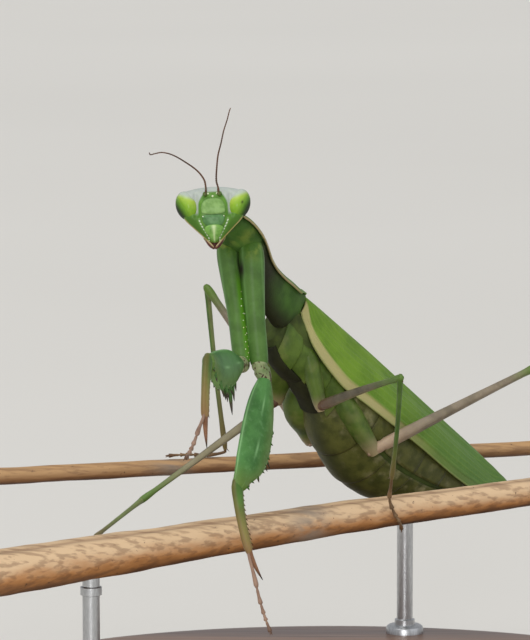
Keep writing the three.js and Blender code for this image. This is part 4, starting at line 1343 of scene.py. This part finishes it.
def make_abdomen(finishes):
    """Belly plates and back plates, one pair to a segment, with the soft fold between them."""
    look = finishes["belly"], "abdomen_cuticle"
    for k, (start, end) in enumerate(zip(SEGMENTS, SEGMENTS[1:]), 1):
        reach = 64 if k > 1 else 50
        lap = 0.0 if k == len(SEGMENTS) - 1 else 0.55
        body_plate(f"belly_plate_{k}", start, end, 90 - reach, 90 + reach, *look, 0.1, (54, 24), lap)
        body_plate(f"back_plate_{k}", start, end, -200, 20, *look, 0.05, (60, 16), lap)


def make_thorax(finishes):
    """Flank, breast and root plates of the two wing-bearing segments."""
    slot = "thorax_cuticle"
    for side in (1, -1):
        low, high = (-2, 62) if side > 0 else (118, 182)
        for name, start, end in (("middle_flank", -0.2, 4.9), ("hind_flank", 5.1, 9.6)):
            half = start + (end - start) / 2
            for part, (s0, s1) in enumerate(((start, half), (half + 0.04, end)), 1):
                body_plate(f"{name}_{part}_{side_name(side)}", s0, s1, low, high, finishes["flank"], slot,
                           0.05, nets=(30, 20), skew=side * 1.4, tuck=0.4)
    # the breast plates take the nearly black painted shade of the keel finish
    for name, start, end in (("middle_breast", 0.0, 5.0), ("hind_breast", 5.2, 9.7)):
        body_plate(name, start, end, 62, 118, finishes["keel"], slot, 0.2)
    body_plate("wing_root_shield", -0.5, 3.4, -128, -52, finishes["flank"], slot, 0.1, overlap=0.35)


def make_cerci(finish):
    """Two ringed tail feelers."""

    def thread(t):
        ringed = 1 + 0.12 * cos(2 * pi * CERCUS_RINGS * t)
        return mix(0.34, 0.2, t) * ringed * (1 - step(0.94, 1.02, t) * 0.8)

    for side in (1, -1):
        hand = side_name(side)
        root, tip = (REAR @ Vector((side * x, y, ABDOMEN_END + s)) for x, y, s in CERCUS)
        path = [root, mix(root, tip, 0.5), tip]
        tail = threaded(f"tail_feeler_{hand}", path, thread, sides=16, rings=64, even=True)
        fit(settle(tail, finish), "abdomen_cuticle", f"cercus_{hand}")


# ---- wings --------------------------------------------------------------------------------------
WING_START = 0.6
WING_END = 41.8
WING_HALF = course((0.6, 2), (3, 3.6), (8, 4.8), (16, 5.8), (26, 5.6), (34, 4.7), (38.5, 3.5), (41, 2.1),
                   (41.8, 1.2))
WING_RISE = course((0.6, 2.8), (3, 5.2), (8, 6.4), (11, 6.3), (16, 6.1), (22, 5.75), (30, 5.4), (36, 4.5),
                   (40, 2.9), (41.8, 1.8))
WING_ANGLE = course((0.6, 74), (3, 84), (10, 91), (34, 90), (41.8, 70))
WING_LAYER = 0.66  # from one folded wing down to the next
WING_OVERLAP = 1.1  # how far each tegmen reaches over the middle of the back
TEGMEN_THICK = 0.16
LONG_VEINS = (0.13, 0.2, 0.3, 0.36, 0.45, 0.53, 0.6, 0.68, 0.76, 0.83)
COSTA_WIDE = 1.05  # the pale band along a tegmen's front edge
TIP_ROUND = 1.4  # how far a tegmen's rear corners are drawn forward
FAN_THICK = 0.1
FAN_PLEATS = 9


def wing_place(s, share, inner, reach, inset, side):
    """A place on the arch of the folded wings."""
    half, rise = WING_HALF(s), WING_RISE(s)
    start = asin(min(max(inner / half, -0.8), 0.8))
    angle = mix(start, radians(WING_ANGLE(s)) * reach, share)
    depth = inset(angle * half)
    half, rise = max(half - depth, 0.45), max(rise - depth, 0.2)
    return Vector((side * half * sin(angle), depth + rise * (1 - cos(angle)), s))


def make_tegmen(side, finish):
    """A leathery fore wing with a pale front edge and raised long veins. The left lies on top."""
    outer = TEGMEN_THICK / 2

    def inset(x):
        if side < 0:
            return outer + WING_LAYER
        return outer + WING_LAYER * step(1.3 * WING_OVERLAP, 3.4, x)

    def vein(u, v):
        spread = u + 0.12 * (1 - v) * (0.5 - u) - 0.05 * sin(pi * v) * (u - 0.2)
        nearest = min(abs(spread - at) for at in LONG_VEINS)
        return hump(nearest, 0, 0.01) * step(1.0, 0.86, v)

    def costa(v):
        s = mix(WING_START, WING_END, v)
        return 1 - COSTA_WIDE / (radians(WING_ANGLE(s)) * WING_HALF(s) + WING_OVERLAP)

    def place(u, v):
        s = mix(WING_START, WING_END, v)
        if v > 0.9:
            s -= TIP_ROUND * step(0.9, 1.0, v) * (2 * u - 0.9) ** 2
        spot = wing_place(s, u, -WING_OVERLAP, 1.0, inset, side)
        edge = 0.08 * hump(u, costa(v), 0.015) + 0.08 * step(0.975, 1.0, u)
        out = Vector((spot.x, spot.y - WING_RISE(s), 0)).normalized()
        return spot + out * (0.04 * vein(u, v) + edge)

    marks = {
        "vein": vein,
        "costa": lambda u, v: step(costa(v) - 0.01, costa(v) + 0.02, u) * mix(0.12, 1.0, step(0.62, 0.3, v)),
        "edge": lambda u, v: step(0.97, 1.0, u) + 0.5 * step(0.985, 1.0, v),
    }
    name = f"tegmen_{side_name(side)}"
    wing = shell(name, 170, 220, place, TEGMEN_THICK, marks)
    return fit(settle(wing, finish, REAR), "tegmen_cuticle", name)


def make_hind_wing(side, finish):
    """A hind wing folded like a fan under its tegmen."""

    def place(u, v):
        pleat = 0.1 * abs(((u * FAN_PLEATS) % 1.0) * 2 - 1)
        depth = 0.15 + 2 * WING_LAYER + pleat
        return wing_place(mix(4.0, WING_END - 1.2, v), u, 0.16, 0.6, lambda x: depth, side)

    name = f"hind_wing_{side_name(side)}"
    return fit(settle(shell(name, 72, 120, place, FAN_THICK), finish, REAR), "hind_wing_membrane", name)


# ---- walking legs -------------------------------------------------------------------------------
PAIRS = {  # hip root, hip end and hip stoutness, then thigh length, and how stout thigh and shin are
    "mid": ((1.9, 4.6, 2.7), (3.2, 9.5, 7.6), 0.66, 18.2, 0.72, 0.76),
    "hind": ((2.2, 6.2, 8.6), (4.9, 9.9, 15.8), 0.88, 21, 0.9, 0.84),
}
THIGHS = {"mid_left": (-62.2, 17.3), "mid_right": (-169, -35), "hind_left": (20, 23), "hind_right": (141, 47)}
THIGH = course((0, 0.42), (0.05, 0.68), (0.14, 0.74), (0.3, 0.68), (0.6, 0.52), (0.88, 0.42), (0.95, 0.52),
               (0.985, 0.46), (1, 0.28))
SHIN = course((0, 0.3), (0.03, 0.42), (0.1, 0.38), (0.3, 0.32), (0.8, 0.3), (0.95, 0.38), (1, 0.26))
HIP = course((0, 0.5), (0.08, 0.95), (0.3, 1.5), (0.8, 1.1), (0.92, 0.9), (1, 0.55))
RIGHT_HIP_MORE = 0.95  # how much stouter the right hips are next to the body


def make_hip(name, top, hip, finish, stout, more):
    """The broad hip of a walking leg, ribbed and grooved; more swells the half next to the body."""
    way = hip - top
    coxa = limb(
        f"{name}_coxa", way.length + 0.55,
        wide=lambda t: HIP(t) * stout * (1 + more * step(1.0, 0.45, t)),
        carve=lambda t, a: 0.06 * cos(3 * a) * step(0.95, 0.6, t) - 0.05 * hump(a, 0.9, 0.07),
        sides=40, rings=48,
    )
    spot = axes(top, way, REAR.to_3x3() @ Vector((0, 0, 1)))
    fit(settle(coxa, finish, spot), "thorax_cuticle", f"{name}_coxa")


def make_walking_leg(pair, side, finishes, thorn):
    name = f"{pair}_{side_name(side)}"
    top, hip, hip_stout, reach, stout, shin_stout = PAIRS[pair]
    top, hip = (REAR @ Vector((side * x, y, z)) for x, y, z in (top, hip))
    way = heading(*THIGHS[name])
    knee = hip + way * reach
    ankle = meeting(f"{name}_tibia", f"{name}_tarsus")
    make_hip(name, top, hip, finishes["hip"], hip_stout, 0.0 if side > 0 else RIGHT_HIP_MORE)

    belly = across(ankle - knee, way)

    def carve(t, a):
        ribs = 0.06 * cos(4 * a + pi) * step(0.12, 0.25, t) * step(0.97, 0.85, t)
        return ribs - 0.14 * hump(t, 0.085, 0.012)

    thigh = limb(
        f"{name}_femur", reach + 1.15, lambda t: THIGH(t) * stout, lambda t: THIGH(t) * stout * 1.08,
        lambda t: (0.0, -0.16 * sin(pi * t)), carve, sides=32, rings=80,
    )
    thigh = settle(thigh, finishes[f"{pair}_thigh"], axes(hip - way * 0.7, way, belly))
    knee_thorn = set_thorn(thorn, finishes["brown_thorn"], knee + belly * 0.3, way + belly * 0.6, 0.45, 0.07)
    fit(joined(thigh, knee_thorn), "walking_femur_cuticle", f"{name}_femur")

    way = (ankle - knee).normalized()
    inside = across(hip - knee, way)
    shin = limb(
        f"{name}_tibia", (ankle - knee).length + 0.6, lambda t: SHIN(t) * shin_stout,
        bow=lambda t: (0.0, -0.2 * sin(pi * t)),
        carve=lambda t, a: 0.07 * cos(4 * a + pi) * step(0.08, 0.2, t) * step(0.97, 0.85, t),
        sides=28, rings=72,
    )
    shin = settle(shin, finishes["shin"], axes(knee - way * 0.4, way, inside))
    spurs = []
    for aside in (1, -1):
        lean = inside * 0.5 + inside.cross(way) * 0.45 * aside + way
        spurs.append(set_thorn(thorn, finishes["brown_thorn"], ankle + inside * 0.15, lean, 0.65, 0.07))
    fit(joined(shin, *spurs), "walking_tibia_cuticle", f"{name}_tibia")

    path = midline(f"{name}_tarsus", ankle, 7)
    path[0] = ankle - way * 0.2
    make_foot(f"{name}_foot", path, WALKING_FOOT, finishes["foot"], "foot_cuticle",
              across(-way, path[-1] - path[1]), f"{name}_tarsus")


# ---- perches and stand --------------------------------------------------------------------------
STEMS = {  # a place on its axis from the head's centre, its way, its reach to both ends, its radius
    "front": ((3.7, 5.3, -34.2), (24, 4.2), (34, 38), course(
        (0, 2.55), (0.08, 2.48), (0.24, 2.28), (0.36, 2.06), (0.6, 1.78), (0.9, 1.54), (1, 1.5))),
    "rear": ((0.5, 38.1, -32.6), (12, 1), (28, 47), course((0, 0.95), (1, 0.8))),
}


HOLLOW = ((0.9, 0.35), (0.25, 0.42), (0.0, 0.55))  # a cut end's rings: their depth and share of its radius
STEM_RINGS = 240
GROOVE_AT, GROOVE_WIDE = 1.9, 0.16  # an angle round the stem, and how far round it reaches
SAG_REACH = (0.55, 1.15)  # shares of the stem's length


def make_stem(which, slot, colours, seed, rough, knots, groove, sag=0.0):
    """A cut length of dry stem: lumpy, grooved, swollen at its knots (a place and how much), with pith at
    its cut ends. Its far part may sag."""
    through, way, reach, radius = STEMS[which]
    way = heading(*way)
    start = HEAD_CENTRE + Vector(through) - way * reach[0]
    length = sum(reach)

    def lump(t, a):
        place = Vector((cos(a) * 1.3, sin(a) * 1.3, t * length * 0.22)) + seed
        fine = Vector((cos(a) * 6, sin(a) * 6, t * length * 0.5)) + seed
        knot = sum(hump(t, at, 0.012) * swell for at, swell in knots)
        cut = groove * hump(atan2(sin(a - GROOVE_AT), cos(a - GROOVE_AT)), 0, GROOVE_WIDE)
        return rough * (noise.noise(place) + 0.4 * noise.noise(fine)) + knot - cut - 0.02

    def drop(z):
        return sag * step(*SAG_REACH, z / length)

    stations = [i / STEM_RINGS for i in range(STEM_RINGS + 1)]
    rings = [(depth, radius(0) * part) for depth, part in HOLLOW]
    rings += [(t * length, radius(t)) for t in stations]
    rings += [(length - depth, radius(1) * part) for depth, part in reversed(HOLLOW)]
    stem = grow(f"stem_{which}", 64, [(z, r, r, 0.0, -drop(z)) for z, r in rings])

    def share(p):
        return min(max(p.z / length, 0.0), 1.0)

    def level(p):
        return p.y + drop(p.z)

    # top: the height round the stem, which the finish uses for the painted shade underneath
    mark(
        stem,
        run=share,
        top=lambda p: level(p) / radius(share(p)),
        groove=lambda p: hump(atan2(level(p), p.x), GROOVE_AT, GROOVE_WIDE) if groove else 0.0,
        joint=lambda p: sum(hump(share(p), at, 0.03) for at, swell in knots),
        pith=lambda p: step(0.75, 0.6, sqrt(p.x * p.x + level(p) ** 2) / radius(share(p))),
    )

    def rule(p):
        out = lump(share(p), atan2(level(p), p.x))
        slant = 0.1 * p.x if share(p) in (0.0, 1.0) else 0.0
        return Vector((p.x * (1 + out), p.y + level(p) * out, p.z + slant))

    shape(stem, rule)
    settle(stem, stem_finish(slot, *colours, way), axes(start, way, UP))
    return fit(crease(stem, 50), slot, f"perch_{which}")


def make_stems():
    make_stem("front", "straw_stem", ((168, 112, 58), (200, 170, 134), (96, 62, 36)),
              seed=Vector((3.1, 0.4, 7.0)), rough=0.05, knots=((0.56, 0.02), (0.965, 0.05)), groove=0.06,
              sag=0.7)
    make_stem("rear", "dry_rim", ((146, 106, 68), (172, 134, 90), (96, 62, 38)),
              seed=Vector((8.3, 2.6, 1.0)), rough=0.07, knots=((0.3, 0.05), (0.72, 0.05)), groove=0.0)


# heights on the base's edge, and how far in it is there
BASE_EDGE = ((0.0, 0.9), (0.25, 0.35), (0.7, 0.0), (2.6, 0.0), (3.1, 0.25), (3.4, 0.75), (3.45, 1.3),
             (3.9, 1.35), (4.6, 1.6), (5.2, 2.1), (5.65, 2.8), (5.9, 3.6))
BASE_TOP_IN = 4.6


def make_stand(wood, steel):
    """An oval base with a stepped, rounded edge, and two slim rods in foot collars."""
    low, high = (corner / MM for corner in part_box("stand_base"))
    half, centre = (high - low) / 2, (low + high) / 2
    tall = high.z - low.z
    edge = (*BASE_EDGE, (tall, BASE_TOP_IN))
    rings = [(z, half.x - inward, half.y - inward, 0.0, 0.0) for z, inward in edge]
    base = grow("stand_base_board", 192, rings)
    settle(base, wood, Matrix.Translation((centre.x, centre.y, low.z)))
    fit(crease(base, 30), "base_wood", "stand_base")
    for which in ("front", "rear"):
        node = f"stand_rod_{which}"
        low, high = (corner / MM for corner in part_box(node))
        radius = (high.x - low.x) / 2
        foot, top = tall - 0.4, high.z + 0.3
        rings = [(foot, 2.1), (tall + 0.5, 2.1), (tall + 0.72, 2.0), (tall + 0.85, 1.8), (tall + 0.9, 1.15),
                 (tall + 1.5, 1.12), (tall + 1.6, radius), (top - 2.2, radius), (top - 2.1, 1.12),
                 (top - 1.3, 1.12), (top - 1.2, radius), (top, radius)]
        rod = grow(f"stand_rod_{which}_steel", 40, [(z, r, r, 0.0, 0.0) for z, r in rings])
        settle(rod, steel, Matrix.Translation(((low.x + high.x) / 2, (low.y + high.y) / 2, 0)))
        fit(crease(rod, 30), "rod_steel", node)


# ---- the studio ---------------------------------------------------------------------------------
def aim(thing, spot, target):
    thing.location = spot
    thing.rotation_mode = "QUATERNION"
    thing.rotation_quaternion = (Vector(target) - Vector(spot)).to_track_quat("-Z", "Y")


CAMERA_SPOT = (-0.00771, -0.51565, 0.11731)
CAMERA_DIP = 8  # degrees below the horizon
CAMERA_LENS = 273.94
AIM = (0, 0, 0.045)  # where the lamps point
AIR_COLOUR = (0.94, 0.96, 1.0, 1.0)
AIR_STRENGTH = 0.52


def make_camera():
    """Seen from in front and a little above, as through a long lens."""
    deselect()
    bpy.ops.object.camera_add(location=CAMERA_SPOT, rotation=(radians(90 - CAMERA_DIP), 0, 0))
    camera = bpy.context.object
    camera.data.lens = CAMERA_LENS
    camera.data.sensor_width = 36
    camera.data.sensor_fit = "AUTO"
    camera.data.clip_start = 0.02
    camera.data.clip_end = 50
    bpy.context.scene.camera = camera


def make_lights():
    """Broad soft daylight from above and both sides, and a small lamp that glints in the eyes."""
    lamps = (
        ("above", "SUN", (-0.45, -0.55, 1.2), 1.7, (1.0, 0.99, 0.96), {"angle": radians(50)}),
        ("right", "SUN", (1.0, -0.5, 0.6), 0.4, (0.95, 0.98, 1.0), {"angle": radians(60)}),
        ("front", "AREA", (-0.05, -0.6, 0.14), 1.1, (1.0, 1.0, 1.0),
         {"shape": "RECTANGLE", "size": 0.1, "size_y": 0.3}),
    )
    for name, kind, spot, energy, colour, more in lamps:
        deselect()
        bpy.ops.object.light_add(type=kind)
        lamp = bpy.context.object
        lamp.name = f"light_{name}"
        lamp.data.energy = energy
        lamp.data.color = colour
        for key, value in more.items():
            setattr(lamp.data, key, value)
        aim(lamp, spot, AIM)
    world = bpy.data.worlds.new("studio_air")
    world.use_nodes = True
    air = world.node_tree.nodes["Background"]
    air.inputs["Color"].default_value = AIR_COLOUR
    air.inputs["Strength"].default_value = AIR_STRENGTH
    bpy.context.scene.world = world
    bpy.context.scene.view_settings.view_transform = "Standard"


def make_floor():
    deselect()
    bpy.ops.mesh.primitive_plane_add(size=12)
    floor = bpy.context.object
    floor.name = "studio_floor"
    floor.data.materials.append(floor_finish())


# ---- the whole ----------------------------------------------------------------------------------
def make_mantis():
    finishes = make_finishes()
    thorn = thorn_pattern()
    bead = ball("bead_pattern", 10, 6, lambda p: Vector((p.x, p.y, p.z * 0.9)))
    bead.data.materials.append(finishes["bead"])
    make_head(finishes["face"])
    make_face(finishes, bead)
    make_mouth(finishes)
    make_simple_eyes(ocellus_finish())
    lens = eye_finish()
    for side in (1, -1):
        make_eye(side, lens)
        make_feeler(side, finishes)
    make_neck(finishes["neck"])
    make_pronotum(finishes)
    for side in (1, -1):
        make_fore_leg(side, finishes, thorn, bead)
    make_core(finishes["soft"])
    make_thorax(finishes)
    make_abdomen(finishes)
    make_cerci(finishes["belly"])
    tegmen = wing_finish("tegmen_leather", (104, 138, 34), (86, 120, 28), (128, 154, 62), (74, 112, 52))
    fan = wing_finish("hind_wing_film", (170, 180, 130), (150, 164, 108), (120, 136, 80), (150, 150, 110))
    for side in (1, -1):
        make_tegmen(side, tegmen)
        make_hind_wing(side, fan)
    for pair in PAIRS:
        for side in (1, -1):
            make_walking_leg(pair, side, finishes, thorn)
    for pattern in (thorn, bead):
        bpy.data.objects.remove(pattern)


make_camera()
make_lights()
make_floor()
make_mantis()
make_stems()
make_stand(wood_finish(), steel_finish())
